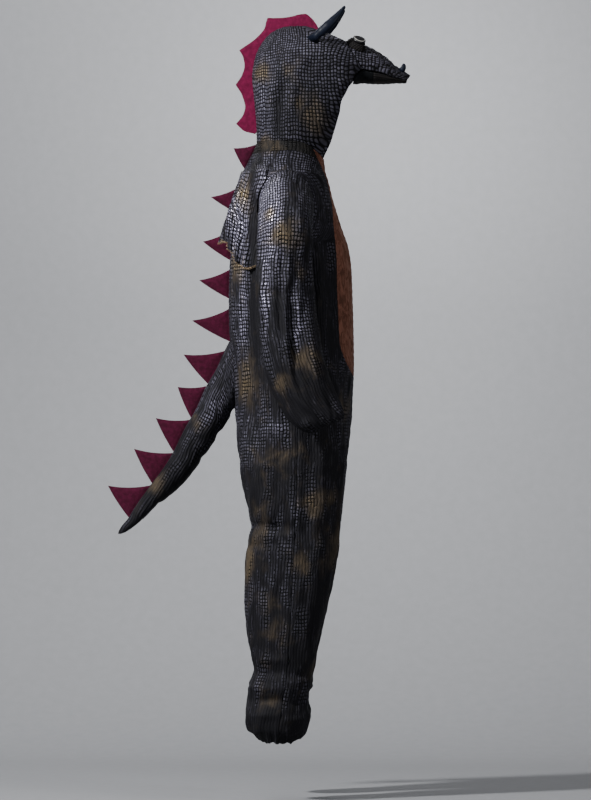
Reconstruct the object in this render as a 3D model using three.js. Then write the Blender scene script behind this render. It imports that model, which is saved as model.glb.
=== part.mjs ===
// A dragon onesie: a hooded jumpsuit in scale-embossed cloth, worn open and hollow on a standing figure.
// A maker would cut and sew these pieces: two belly halves, two fronts and two backs that run from the
// shoulder down the leg, a collar, two-piece sleeves, two gathered shoulder flaps, a two-piece hood with a
// stuffed snout, mouth lining and lower lip, stuffed eye sockets, eyes, horns, nostril horns, a felt crest,
// ten felt spikes and a stuffed tail.
//
// Units are millimetres. +Z is up, the front faces -Y and the wearer's right is -X.
// The origin is midway between the shoulders, where the wearer holds the garment up.

import * as THREE from "three";

// ---------------------------------------------------------------- driving sizes

const CLOTH = 2; // thickness of the embossed cloth
const SEAM = 0.3; // clearance between two pieces that are sewn together
const ON_CLOTH = 0.5; // clearance under a piece that is sewn on to the cloth's face
const PANEL_COLUMNS = 7; // cells across a front or a back
const BELLY_COLUMNS = 3;
const SLEEVE_COLUMNS = 9; // cells across one half of a sleeve
const RIGHT = -1; // the sign of X on the wearer's right

const BLACK_SCALES = { color: 0x1b1c22, roughness: 0.45, metalness: 0.1 };
const BELLY_PLUSH = { color: 0x6b3a22, roughness: 0.8, metalness: 0 };
const COLLAR_SCALES = { color: 0x2a2726, roughness: 0.6, metalness: 0 };
const CRIMSON_FELT = { color: 0x7d1238, roughness: 0.9, metalness: 0 };
const HORN_SATIN = { color: 0x14162a, roughness: 0.35, metalness: 0 };
const MOUTH_JERSEY = { color: 0x0b0d14, roughness: 0.8, metalness: 0 };
const LIP_SCALES = { color: 0x4a4038, roughness: 0.6, metalness: 0 };
const EYE_GLOSS = { color: 0x101010, roughness: 0.1, metalness: 0 };

// ---------------------------------------------------------------- tables and smooth curves

const table = (columns, rows) =>
  rows.map((row) => Object.fromEntries(columns.map((name, i) => [name, row[i]])));

// A smooth curve through one column of a table, with no overshoot between its rows.
function curve(rows, at, value) {
  const sorted = [...rows].sort((a, b) => a[at] - b[at]);
  const x = sorted.map((row) => row[at]);
  const y = sorted.map((row) => row[value]);
  const last = x.length - 1;
  const secant = (i) => (y[i + 1] - y[i]) / (x[i + 1] - x[i]);
  const slope = x.map((_, i) => {
    if (i === 0) return secant(0);
    if (i === last) return secant(last - 1);
    const before = secant(i - 1);
    const after = secant(i);
    return before * after <= 0 ? 0 : (2 * before * after) / (before + after);
  });
  return (t) => {
    if (t <= x[0]) return y[0] + slope[0] * (t - x[0]);
    if (t >= x[last]) return y[last] + slope[last] * (t - x[last]);
    const i = x.findIndex((v) => v > t) - 1;
    const h = x[i + 1] - x[i];
    const u = (t - x[i]) / h;
    const rise = y[i + 1] - y[i];
    const a = slope[i] * h - rise;
    const b = rise - slope[i + 1] * h;
    return y[i] + u * rise + u * (1 - u) * (a * (1 - u) + b * u);
  };
}

// All the columns of a table as one function of the first column.
function curves(columns, rows) {
  const named = table(columns, rows);
  const parts = columns.slice(1).map((name) => [name, curve(named, columns[0], name)]);
  return (t) => Object.fromEntries(parts.map(([name, f]) => [name, f(t)]));
}

const radians = THREE.MathUtils.degToRad;
const between = (a, b, t) => a + (b - a) * t;
const steps = (from, to, count) =>
  Array.from({ length: count + 1 }, (_, i) => between(from, to, i / count));
const point = (x, y, z) => new THREE.Vector3(x, y, z);

// ---------------------------------------------------------------- folds

// Soft ridges (depth above 0) and troughs on a surface of two parameters, along and around.
const FOLD_COLUMNS = ["along", "around", "length", "width", "depth", "slant"];

function foldHeight(folds, along, around) {
  let height = 0;
  for (const fold of folds) {
    const down = along - fold.along;
    const across = around - fold.around - fold.slant * down;
    height += fold.depth * Math.exp(-((down / fold.length) ** 2) - (across / fold.width) ** 2);
  }
  return height;
}

// ---------------------------------------------------------------- solids from surfaces

function solid(positions, triangles) {
  const p = positions;
  let volume = 0;
  for (const [a, b, c] of triangles) volume += p[a].dot(point(0, 0, 0).crossVectors(p[b], p[c]));
  const facing = volume < 0 ? triangles.map(([a, b, c]) => [a, c, b]) : triangles;
  const geometry = new THREE.BufferGeometry();
  geometry.setAttribute(
    "position",
    new THREE.Float32BufferAttribute(positions.flatMap((v) => [v.x, v.y, v.z]), 3),
  );
  geometry.setIndex(facing.flat());
  return geometry;
}

// The normal of a surface at two parameters, from small steps in each.
function normalOf(surface, a, b, stepA, stepB) {
  const alongA = surface(a + stepA, b).sub(surface(a - stepA, b));
  const alongB = surface(a, b + stepB).sub(surface(a, b - stepB));
  return alongA.cross(alongB).normalize();
}

// A cloth wall: the grid's points on a surface, and the same points moved in by the thickness.
// outward is 1 or -1, whichever turns the surface's normal away from the wearer.
function wall(surface, grid, { outward, step, thickness = CLOTH, lift = 0 }) {
  const outer = [];
  const inner = [];
  for (const row of grid)
    for (const [a, b] of row) {
      const normal = normalOf(surface, a, b, step[0], step[1]).multiplyScalar(outward);
      const face = surface(a, b).addScaledVector(normal, lift);
      outer.push(face);
      inner.push(face.clone().addScaledVector(normal, -thickness));
    }
  const rows = grid.length;
  const columns = grid[0].length;
  const back = outer.length;
  const triangles = [];
  const quad = (a, b, c, d) => triangles.push([a, b, c], [a, c, d]);
  const at = (i, j) => i * columns + j;
  for (let i = 0; i < rows - 1; i++)
    for (let j = 0; j < columns - 1; j++) {
      const [p, q, r, s] = [at(i, j), at(i, j + 1), at(i + 1, j + 1), at(i + 1, j)];
      quad(p, q, r, s);
      quad(back + p, back + s, back + r, back + q);
    }
  const rim = (p, q) => quad(q, p, back + p, back + q);
  for (let j = 0; j < columns - 1; j++) {
    rim(at(0, j), at(0, j + 1));
    rim(at(rows - 1, j + 1), at(rows - 1, j));
  }
  for (let i = 0; i < rows - 1; i++) {
    rim(at(i + 1, 0), at(i, 0));
    rim(at(i, columns - 1), at(i + 1, columns - 1));
  }
  return solid([...outer, ...inner], triangles);
}

// A solid through closed rings of one size, with a single point as the first and the last ring.
function loft(rings) {
  const positions = rings.flat();
  const triangles = [];
  let start = 0;
  for (let k = 0; k < rings.length - 1; k++) {
    const here = rings[k].length;
    const next = rings[k + 1].length;
    const size = Math.max(here, next);
    const following = start + here;
    for (let j = 0; j < size; j++) {
      const after = (j + 1) % size;
      if (here === 1) triangles.push([start, following + j, following + after]);
      else if (next === 1) triangles.push([start + after, start + j, following]);
      else {
        triangles.push([start + j, following + j, following + after]);
        triangles.push([start + j, following + after, start + after]);
      }
    }
    start = following;
  }
  return solid(positions, triangles);
}

const middle = (ring) =>
  ring.reduce((sum, v) => sum.add(v), point(0, 0, 0)).divideScalar(ring.length);

// The wearer's left piece, which is the right one in a mirror.
function mirrored(geometry) {
  const copy = geometry.clone();
  copy.scale(-1, 1, 1);
  const turned = [];
  const index = copy.getIndex().array;
  for (let i = 0; i < index.length; i += 3) turned.push(index[i], index[i + 2], index[i + 1]);
  copy.setIndex(turned);
  return copy;
}

const onesie = new THREE.Group();

function addPiece(name, geometry, finish) {
  const mesh = new THREE.Mesh(geometry, new THREE.MeshStandardMaterial(finish));
  mesh.name = name;
  onesie.add(mesh);
}

function addPair(name, rightGeometry, finish) {
  addPiece(name + "_right", rightGeometry, finish);
  addPiece(name + "_left", mirrored(rightGeometry), finish);
}

// ---------------------------------------------------------------- body and legs

// Half of the body is a tube. Down to the hips its centre is in the middle of the body, and the middle
// plane cuts it. Below them the centre moves out by legShift until the tube is a leg of its own.
// height is taken at the side seam. frontRise and backRise say how much higher the same row is at the
// centre front and the centre back.
const bodyAt = curves(
  ["height", "frontRise", "backRise", "outer", "legShift", "front", "back", "side"],
  [
    [68, -42, -2, 78, 0, -88, 72, -8], // neckline
    [56, -38, -4, 81, 0, -89, 77, -6],
    [44, -33, -6, 87, 0, -90, 83, -4], // foot of the collar
    [30, -26, -8, 101, 0, -91, 91, -2],
    [16, -20, -7, 122, 0, -92, 98, 0],
    [3, -15, -5, 143, 0, -94, 105, 0],
    [-10, -10, -3, 155, 0, -97, 110, 0], // shoulder point
    [-30, -5, -1, 161, 0, -101, 114, 0],
    [-60, 0, 0, 164, 0, -107, 120, 0],
    [-91, 0, 0, 164, 0, -116, 124, 0],
    [-139, 0, 0, 165, 0, -131, 130, -2],
    [-187, 0, 0, 166, 0, -147, 134, -5], // chest, under the arms
    [-235, 0, 0, 168, 0, -154, 137, -9],
    [-307, 0, 0, 170, 0, -157, 139, -14],
    [-379, 0, 0, 172, 0, -159, 138, -18],
    [-451, 0, 0, 177, 0, -160, 130, -22],
    [-560, 0, 0, 187, 0, -156, 125, -26], // hips
    [-600, 0, 0, 188, 28, -154, 122, -26],
    [-640, 0, 0, 189, 55, -150, 119, -26],
    [-670, 0, 0, 189.5, 76, -148, 116, -26],
    [-690, 0, 0, 190, 89, -147, 114, -25],
    [-703, 0, 0, 190.6, 95.5, -146, 113, -25], // crotch
    [-718, 0, 0, 190, 96.5, -144, 110, -24],
    [-758, 0, 0, 189, 98, -140, 104, -24],
    [-805, 0, 0, 187, 100, -134.5, 94, -22],
    [-848, 0, 0, 184, 102, -128.5, 86.5, -20], // crumpled behind the knee
    [-885, 0, 0, 182, 103, -126.5, 95, -18],
    [-941, 0, 0, 180, 104, -120, 101, -15],
    [-1000, 0, 0, 179, 105, -107, 102, -12],
    [-1070, 0, 0, 177, 107, -93.5, 100, -9],
    [-1117, 0, 0, 175, 108, -81, 94, -6],
    [-1164, 0, 0, 171, 109, -72, 84, -3],
    [-1192, 0, 0, 169, 109, -66, 82.5, 0], // pulled in above the ankle
    [-1228, 0, 0, 171, 110, -60, 91, 4],
    [-1246, 0, 0, 169, 110, -55, 94, 8],
    [-1274, 0, 0, 171, 110, -52, 98, 12],
    [-1293, 0, 0, 170, 110, -57, 98, 14], // bag of cloth over the elastic
    [-1325, 0, 0, 167, 110, -50, 94, 18],
    [-1342, 0, 0, 157, 110, -41, 74, 18],
    [-1357, 0, 0, 146, 110, -14, 50, 18], // hem
  ],
);

// along is the height, around is the angle in degrees: 90 centre front, 180 side, 270 centre back.
const bodyFolds = table(FOLD_COLUMNS, [
  [-270, 138, 130, 6, -5, 0],
  [-300, 152, 150, 6, 5, 0.01],
  [-190, 166, 60, 5, -4, 0.04],
  [-480, 150, 80, 8, -4, -0.05],
  [-360, 236, 160, 6, 6, 0],
  [-400, 222, 170, 6, -6, 0],
  [-430, 206, 140, 6, 5, 0],
  [-600, 240, 90, 7, 5, 0.03],
  [-785, 120, 90, 14, -5, 0.04],
  [-795, 230, 60, 16, 6, -0.05],
  [-856, 205, 22, 40, -6, 0],
  [-874, 60, 40, 16, 5, 0.1],
  [-950, 150, 110, 14, 4, 0.06],
  [-1048, 215, 90, 16, -5, -0.05],
  [-1106, 100, 80, 16, -4, 0.08],
  [-1178, 240, 16, 50, -5, 0],
  [-1207, 150, 14, 40, 4, 0],
  [-1234, 95, 10, 34, -4, 0],
  [-1258, 200, 14, 50, -4, 0],
  [-1283, 70, 14, 30, 4, 0],
  [-1306, 250, 14, 36, 4, 0],
]);

function bodyPoint(height, degrees) {
  const { frontRise, backRise, outer, legShift, front, back, side } = bodyAt(height);
  const turn = radians(degrees);
  const c = Math.cos(turn);
  const s = Math.sin(turn);
  const across = outer - legShift;
  const depth = s >= 0 ? side - front : back - side;
  const face = new THREE.Vector2(c * depth, -s * across).normalize();
  const fold = foldHeight(bodyFolds, height, degrees);
  return point(
    RIGHT * legShift + across * c + face.x * fold,
    side - depth * s + face.y * fold,
    height + (s >= 0 ? frontRise : backRise) * s * s,
  );
}

// The angle at which the middle plane cuts a front: 90 degrees on the body, near 0 once the leg is closed.
function innerFront(height) {
  const { outer, legShift, front, side } = bodyAt(height);
  const open = (legShift - SEAM / 2) / (outer - legShift);
  const closed = Math.cos(SEAM / 2 / (side - front));
  return THREE.MathUtils.radToDeg(Math.acos(Math.min(open, closed)));
}

const innerBack = (height) => 360 - innerFront(height);

// Half the width of the belly panel: a narrow neck, a broad middle and a round end.
const BELLY_END = -492;
const BELLY_TURN = -405; // the round end starts here
const BELLY_HALF = 114;
const bellyTable = table(
  ["height", "half"],
  [
    [68, 56],
    [20, 46],
    [-31, 41],
    [-79, 52],
    [-127, 82],
    [-187, 103],
    [-283, 112],
    [BELLY_TURN, BELLY_HALF],
  ],
);
const bellyUpper = curve(bellyTable, "height", "half");

function bellyHalf(height) {
  if (height >= BELLY_TURN) return bellyUpper(height);
  const down = (BELLY_TURN - height) / (BELLY_TURN - BELLY_END);
  return BELLY_HALF * Math.sqrt(Math.max(0, 1 - down * down));
}

// The angle on the body at a distance from the middle plane.
function frontAngle(height, fromMiddle) {
  return 90 + THREE.MathUtils.radToDeg(Math.asin(fromMiddle / bodyAt(height).outer));
}

// The armhole is an oval on the side of the body.
const ARMHOLE = { height: -90, halfHeight: 84, halfDepth: 62 };

// The angle from the side seam at which the armhole cuts a row.
function armholeAngle(height, depth) {
  const up = (height - ARMHOLE.height) / ARMHOLE.halfHeight;
  if (Math.abs(up) >= 1) return 0;
  const reach = ARMHOLE.halfDepth * Math.sqrt(1 - up * up);
  return THREE.MathUtils.radToDeg(Math.asin(reach / depth));
}

function outerFront(height) {
  const { front, side } = bodyAt(height);
  return 180 - armholeAngle(height, side - front) - THREE.MathUtils.radToDeg(SEAM / 2 / 150);
}

function outerBack(height) {
  const { back, side } = bodyAt(height);
  return 180 + armholeAngle(height, back - side) + THREE.MathUtils.radToDeg(SEAM / 2 / 150);
}

const armholeRows = steps(0, 180, SLEEVE_COLUMNS).map(
  (turn) => ARMHOLE.height + ARMHOLE.halfHeight * Math.cos(radians(turn)),
);
const COLLAR_FOOT = 44;
const NECKLINE = 68;
const BELLY_LOW_ROW = BELLY_END + 1.5; // the panel's first row, where the round end is nearly flat
const shoulderRows = [COLLAR_FOOT - SEAM / 2, 36, 26, 15, 4, ...armholeRows];
const trunkRows = [-205, -240, -283, -330, -370, BELLY_TURN, -432, -455, -472, -484, BELLY_LOW_ROW];
const hipRows = [BELLY_END, -512, -540, -568, -600, -635, -665, -688, -703];
const legRows = [
  -718, -758, -796, -825, -848, -876, -916, -965, -1020, -1072, -1117, -1154, -1176, -1192, -1213, -1232,
  -1248, -1268, -1287, -1308, -1328, -1344, -1357,
];
const panelRows = [...shoulderRows, ...trunkRows, ...hipRows, ...legRows];

// The front's inner edge follows the belly panel, then the centre front, the crotch and the inseam.
function frontStart(height) {
  if (height <= BELLY_END) return innerFront(height);
  return frontAngle(height, bellyHalf(height) + SEAM);
}

const rowOf = (height, from, to, count) => steps(from, to, count).map((turn) => [height, turn]);
const BODY_WALL = { outward: 1, step: [1, 0.5] };

// Each panel is three lengths that meet edge to edge, down to the hip, the knee and the hem.
const HIP_ROW = -540;
const KNEE_ROW = -916;
const LENGTHS = [
  { suffix: "", rows: panelRows.filter((h) => h >= HIP_ROW) },
  { suffix: "_thigh", rows: [HIP_ROW - SEAM, ...panelRows.filter((h) => h < HIP_ROW && h >= KNEE_ROW)] },
  { suffix: "_shin", rows: [KNEE_ROW - SEAM, ...panelRows.filter((h) => h < KNEE_ROW)] },
];
for (const { suffix, rows } of LENGTHS) {
  const frontRows = rows.map((h) => rowOf(h, frontStart(h), outerFront(h), PANEL_COLUMNS));
  const backRows = rows.map((h) => rowOf(h, outerBack(h), innerBack(h), PANEL_COLUMNS));
  addPair("front" + suffix, wall(bodyPoint, frontRows, BODY_WALL), BLACK_SCALES);
  addPair("back" + suffix, wall(bodyPoint, backRows, BODY_WALL), BLACK_SCALES);
}

const bellyRows = [NECKLINE, 58, 48, ...shoulderRows.slice(1), ...trunkRows];
const bellyPanel = wall(
  bodyPoint,
  bellyRows.map((h) => rowOf(h, innerFront(h), frontAngle(h, bellyHalf(h)), BELLY_COLUMNS)),
  BODY_WALL,
);
const collarRows = [NECKLINE, 56, COLLAR_FOOT + SEAM / 2];
const collar = wall(
  bodyPoint,
  collarRows.map((h) => rowOf(h, frontAngle(h, bellyHalf(h) + SEAM), innerBack(h), 14)),
  BODY_WALL,
);

addPair("belly", bellyPanel, BELLY_PLUSH);
addPair("collar", collar, COLLAR_SCALES);

// ---------------------------------------------------------------- sleeves

// The cap turns about a level axis just under the armhole, from the armhole to a level ring.
const CAP_AXIS = { x: -164, z: -187 };
const CAP_NEAR = 13; // the cap's underside is this far from the axis
const CAP_SHRINK = 0.36; // the ring gets this much shorter as it turns
const CAP_DEEPEN = 1.05;
const ARMHOLE_CLEAR = 1.7; // clearance between the sleeve's first ring and the body's face

function armholePoint(degrees) {
  const up = ARMHOLE.halfHeight * Math.cos(radians(degrees));
  const height = ARMHOLE.height + up;
  const { front, back, side } = bodyAt(height);
  const reach = ARMHOLE.halfDepth * Math.sin(radians(degrees));
  const depth = reach < 0 ? side - front : back - side;
  const turn = 180 + THREE.MathUtils.radToDeg(Math.asin(reach / depth));
  const normal = normalOf(bodyPoint, height, turn, 1, 0.5).multiplyScalar(BODY_WALL.outward);
  return bodyPoint(height, turn).addScaledVector(normal, ARMHOLE_CLEAR);
}

function capPoint(part, degrees) {
  const start = armholePoint(degrees);
  const right = CAP_AXIS.x - start.x;
  const up = start.z - CAP_AXIS.z;
  const reach = Math.hypot(right, up);
  const lean = Math.atan2(right, up) * (1 - part) + (part * Math.PI) / 2;
  const length = CAP_NEAR + (reach - CAP_NEAR) * (1 - CAP_SHRINK * part);
  const y = between(start.y, start.y * CAP_DEEPEN + 5, part);
  return point(CAP_AXIS.x - length * Math.sin(lean), y, CAP_AXIS.z + length * Math.cos(lean));
}

// Rings of the sleeve below the cap: centre, forward swing of the forearm, and half sizes.
const sleeveAt = curves(
  ["drop", "x", "y", "swing", "halfWidth", "halfDepth"],
  [
    [-187, -230, 5, 0, 53, 64],
    [-235, -232, 6, 0, 54, 66],
    [-283, -234, 5, 0, 55, 69],
    [-340, -237, 2, 3, 56, 71], // elbow
    [-400, -240, -5, 6, 56, 73],
    [-460, -243, -16, 11, 55, 72],
    [-510, -247, -32, 17, 53, 70],
    [-550, -250, -52, 20, 51, 66],
    [-580, -252, -72, 24, 48, 60], // bag of cloth over the elastic
    [-600, -252, -88, 25, 43, 50],
    [-607, -250, -97, 25, 35, 38], // wrist opening
  ],
);

const SLEEVE_TOP = -187;
const sleeveFolds = table(FOLD_COLUMNS, [
  [-440, 20, 100, 13, 8, -0.18],
  [-420, -22, 110, 16, -6, -0.1],
  [-300, 60, 60, 16, 6, 0.1],
  [-330, 95, 34, 18, -5, 0.3],
  [-300, 10, 12, 40, -4, 0],
  [-250, -45, 80, 14, -5, 0],
  [-260, 30, 70, 12, 4, 0.1],
  [-390, 120, 60, 16, 5, 0.1],
  [-480, -60, 60, 16, 6, 0.05],
  [-520, 70, 40, 16, -5, 0.1],
  [-560, -30, 24, 22, -4, 0],
  [-570, 110, 20, 30, 4, 0],
  [-400, 200, 90, 20, -4, 0],
]);

// around is 0 at the outside, 90 at the back, 180 beside the body and 270 at the front.
function tubePoint(drop, degrees) {
  const { x, y, swing, halfWidth, halfDepth } = sleeveAt(drop);
  const turn = radians(degrees);
  const lean = radians(swing);
  const signed = degrees > 225 ? degrees - 360 : degrees;
  const fold = foldHeight(sleeveFolds, drop, signed);
  const out = (halfWidth + fold) * Math.cos(turn);
  const rear = (halfDepth + fold) * Math.sin(turn);
  return point(x - out, y + rear * Math.cos(lean), drop - rear * Math.sin(lean));
}

// part runs from 0 at the armhole to 1 under the cap, and from there the ring drops 100 mm for each 1.
function sleevePoint(part, degrees) {
  if (part <= 1) return capPoint(Math.max(part, 0), degrees);
  const tube = tubePoint(SLEEVE_TOP - (part - 1) * 100, degrees);
  const ease = Math.max(0, 1 - (part - 1) / 0.48);
  return ease > 0 ? tube.lerp(capPoint(1, degrees).setZ(tube.z), ease * ease) : tube;
}

const sleeveParts = [0, 0.14, 0.3, 0.48, 0.66, 0.84, 1].concat(
  [-210, -240, -275, -305, -340, -372, -405, -440, -475, -508, -537, -562, -582, -598, -607].map(
    (drop) => 1 + (SLEEVE_TOP - drop) / 100,
  ),
);
const SEAM_DEGREES = 0.15; // half a seam's clearance on a ring of 60 mm
const sleeveHalf = (from, to) =>
  wall(
    sleevePoint,
    sleeveParts.map((part) => rowOf(part, from + SEAM_DEGREES, to - SEAM_DEGREES, SLEEVE_COLUMNS)),
    { outward: -1, step: [0.004, 0.5] },
  );

addPair("sleeve_outer", sleeveHalf(-90, 90), BLACK_SCALES);
addPair("sleeve_under", sleeveHalf(90, 270), BLACK_SCALES);

// ---------------------------------------------------------------- shoulder flaps

// A gathered flap hangs from the back of the shoulder, close to the armhole and standing off towards its
// free corner by the centre back. across runs from 0 at the free corner to 1 at the armhole.
const flapAt = curves(
  ["across", "hem", "standOff", "turn"],
  [
    [0, -178, 24, 257],
    [0.2, -172, 24, 249],
    [0.4, -190, 17, 241],
    [0.55, -212, 13, 235],
    [0.7, -231, 10, 229],
    [0.85, -237, 10, 223],
    [1, -222, 10, 216],
  ],
);
const FLAP_TOP = -2;
const FLAP_GATHERS = 5;
const GATHER_DEPTH = 5;

function flapPoint(across, down) {
  const { hem, standOff, turn } = flapAt(across);
  const height = between(FLAP_TOP, hem, down);
  const swell = standOff * Math.max(down, 0) ** 1.25;
  const gather = GATHER_DEPTH * down * Math.sin(2 * Math.PI * (FLAP_GATHERS * across + 0.25 * down));
  const normal = normalOf(bodyPoint, height, turn, 1, 0.5).multiplyScalar(BODY_WALL.outward);
  return bodyPoint(height, turn).addScaledVector(normal, ON_CLOTH + CLOTH + 1 + swell + gather);
}

const flapGrid = steps(0, 1, 17).map((across) => steps(0, 1, 7).map((down) => [across, down]));
addPair("shoulder_flap", wall(flapPoint, flapGrid, { outward: -1, step: [0.004, 0.004] }), BLACK_SCALES);

// ---------------------------------------------------------------- hood and snout

// The hood is a bent tube. Each station is a straight section from the outer side, at the nape, crown
// and brow, to the inner side, at the throat, face opening and jaw. half is its greatest half width and
// edgeHalf the half width at the inner side. sag lifts the middle of the section.
const hoodAt = curves(
  ["station", "outerY", "outerZ", "innerY", "innerZ", "half", "edgeHalf", "sag"],
  [
    [0, 71, 67, -89, 28, 79, 16, 22], // neck seam
    [1, 74, 120, -103, 58, 86, 34, 10],
    [2, 79, 173, -115, 101, 93, 52, 3],
    [3, 83, 221, -125, 137, 97, 62, 0],
    [4, 77, 264, -132, 168, 99, 68, 0],
    [5, 60, 302, -142, 187, 99, 71, 0],
    [6, 34, 329, -149, 202, 97, 72, 0],
    [7, -2, 342, -155, 209, 94, 71, 0], // crown
    [8, -38, 343, -161, 219, 89, 68, 0],
    [9, -74, 334, -166, 227, 82, 64, 0],
    [10, -106, 322, -172, 233, 74, 60, 0],
    [11, -134, 310, -180, 237, 67, 56, 0], // snout seam
    [12, -170, 300, -194, 235, 59, 52, 0],
    [13, -196, 293, -213, 232, 53, 47, 0],
    [14, -218, 281, -231, 228, 47, 42, 0],
    [15, -240, 266, -247, 222, 40, 35, 0],
    [16, -258, 249, -264, 217, 32, 28, 0],
    [17, -279, 235, -285, 212.5, 22, 20, 0], // nose
  ],
);
const SNOUT_SEAM = 11;
const NECK_CLEAR = 1.2; // clearance between the hood and the neckline
const NOSE = 17;
const NOSE_TIP = point(0, -294, 225);

function hoodEnd(station) {
  const { half, edgeHalf } = hoodAt(station);
  return 180 - THREE.MathUtils.radToDeg(Math.asin(edgeHalf / half));
}

function hoodSection(station, degrees) {
  const { outerY, outerZ, innerY, innerZ, half, sag } = hoodAt(station);
  const turn = radians(degrees);
  const along = (1 - Math.cos(turn)) / (1 - Math.cos(radians(hoodEnd(station))));
  const lift = sag * Math.sin(turn) ** 2;
  return point(
    RIGHT * half * Math.sin(turn),
    between(outerY, innerY, along),
    between(outerZ, innerZ, along) + lift,
  );
}

// The sections below station 1 ease on to the neckline.
function hoodPoint(station, degrees) {
  const section = hoodSection(station, degrees);
  if (station >= 1) return section;
  const ease = bodyPoint(NECKLINE, 270 - degrees).sub(hoodSection(0, degrees));
  ease.z += NECK_CLEAR;
  return section.addScaledVector(ease, 1 - station);
}

const HOOD_WALL = { outward: -1, step: [0.01, 0.5] };
const onHood = (station, degrees, out) =>
  hoodPoint(station, degrees).addScaledVector(
    normalOf(hoodPoint, station, degrees, ...HOOD_WALL.step).multiplyScalar(HOOD_WALL.outward),
    out,
  );

const hoodStations = [0, 0.5, 1.2, 2, 3, 4, 5, 6, 7, 8, 9, 10, SNOUT_SEAM - 0.005];
const HOOD_COLUMNS = 9;
const MIDDLE_DEGREES = 0.12; // half a seam's clearance at the hood's middle
const hoodPanel = wall(
  hoodPoint,
  hoodStations.map((m) => rowOf(m, MIDDLE_DEGREES, hoodEnd(m), HOOD_COLUMNS)),
  HOOD_WALL,
);
addPair("hood", hoodPanel, BLACK_SCALES);

const snoutRing = (station) => {
  const end = hoodEnd(station);
  return steps(-end, end, 14).map((turn) => hoodPoint(station, turn));
};
const snoutRings = [SNOUT_SEAM + 0.005, 11.5, 12, 12.6, 13.2, 14, 14.8, 15.5, 16.2, 16.7, NOSE].map(snoutRing);
addPiece("snout", loft([[middle(snoutRings[0])], ...snoutRings, [NOSE_TIP]]), BLACK_SCALES);

// Two stuffed pieces close the mouth from below: a dark lining at the back and a lip in front of it.
// top is the height under the snout, bottom the lowest height, half the half width.
const mouthAt = curves(
  ["y", "top", "bottom", "half"],
  [
    [-155, 210, 205, 60],
    [-163, 221, 204, 58],
    [-172, 231, 205, 55.5],
    [-180, 236, 206, 53],
    [-194, 233, 205, 49],
    [-213, 230, 204, 44],
    [-231, 226, 204, 39],
    [-247, 221, 205, 33],
    [-262, 217, 206, 26],
    [-278, 213, 206, 20],
    [-288, 212, 208.5, 13],
  ],
);
const UNDER_SNOUT = 1.2; // clearance between the snout and the mouth

function mouthRing(y) {
  const { top, bottom, half } = mouthAt(y);
  const roof = top - UNDER_SNOUT;
  const belly = steps(0, 180, 8).map((turn) => {
    const c = Math.cos(radians(turn));
    return point(half * c, y, roof - (roof - bottom) * Math.sin(radians(turn)) ** 0.8);
  });
  return [...belly, point(-half * 0.4, y, roof), point(half * 0.4, y, roof)];
}

const LIP_START = -206;
const liningRings = [-158, -168, -180, -193, LIP_START + SEAM].map(mouthRing);
const lipRings = [LIP_START, -222, -239, -256, -271, -285].map(mouthRing);
const capped = (rings) => loft([[middle(rings[0])], ...rings, [middle(rings[rings.length - 1])]]);
addPiece("mouth_lining", capped(liningRings), MOUTH_JERSEY);
addPiece("lower_lip", capped(lipRings), LIP_SCALES);

// A stuffed bump on the hood's surface, of half sizes given in stations and degrees.
function bump(centre, spread, height, { rings = 4, columns = 14, base = ON_CLOTH } = {}) {
  const ringAt = (size, out) =>
    steps(0, 360, columns)
      .slice(0, -1)
      .map((turn) =>
        onHood(
          centre.station + spread.stations * size * Math.cos(radians(turn)),
          centre.degrees + spread.degrees * size * Math.sin(radians(turn)),
          out,
        ),
      );
  const foot = steps(0.5, 1, 1).map((size) => ringAt(size, base));
  const dome = steps(0, 80, rings).map((turn) =>
    ringAt(Math.cos(radians(turn)), base + 1 + height * Math.sin(radians(turn))),
  );
  const under = onHood(centre.station, centre.degrees, base);
  const top = onHood(centre.station, centre.degrees, base + 1 + height);
  return loft([[under], ...foot, ...dome, [top]]);
}

const EYE = { station: 11.72, degrees: 42 };
const SOCKET_HEIGHT = 17;
addPair("eye_socket", bump(EYE, { stations: 0.72, degrees: 21 }, SOCKET_HEIGHT), BLACK_SCALES);

// The eye is a disc with a domed face that sits on the socket and looks up and out.
const EYE_RADIUS = 16;
const EYE_DOME = 4;
function eyeDisc() {
  const seat = onHood(EYE.station, EYE.degrees, ON_CLOTH + 1 + SOCKET_HEIGHT + 0.4);
  const facing = normalOf(hoodPoint, EYE.station, EYE.degrees, ...HOOD_WALL.step).negate();
  const turned = new THREE.Quaternion().setFromUnitVectors(point(0, 0, 1), facing);
  const place = (v) => v.applyQuaternion(turned).add(seat);
  const ring = (radius, up) =>
    steps(0, 360, 16)
      .slice(0, -1)
      .map((turn) => place(point(radius * Math.cos(radians(turn)), radius * Math.sin(radians(turn)), up)));
  return loft([
    [place(point(0, 0, 0))],
    ring(EYE_RADIUS, 0),
    ring(EYE_RADIUS, 2),
    ring(EYE_RADIUS * 0.75, 2 + EYE_DOME * 0.6),
    ring(EYE_RADIUS * 0.4, 2 + EYE_DOME * 0.92),
    [place(point(0, 0, 2 + EYE_DOME))],
  ]);
}
addPair("eye", eyeDisc(), EYE_GLOSS);

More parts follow.
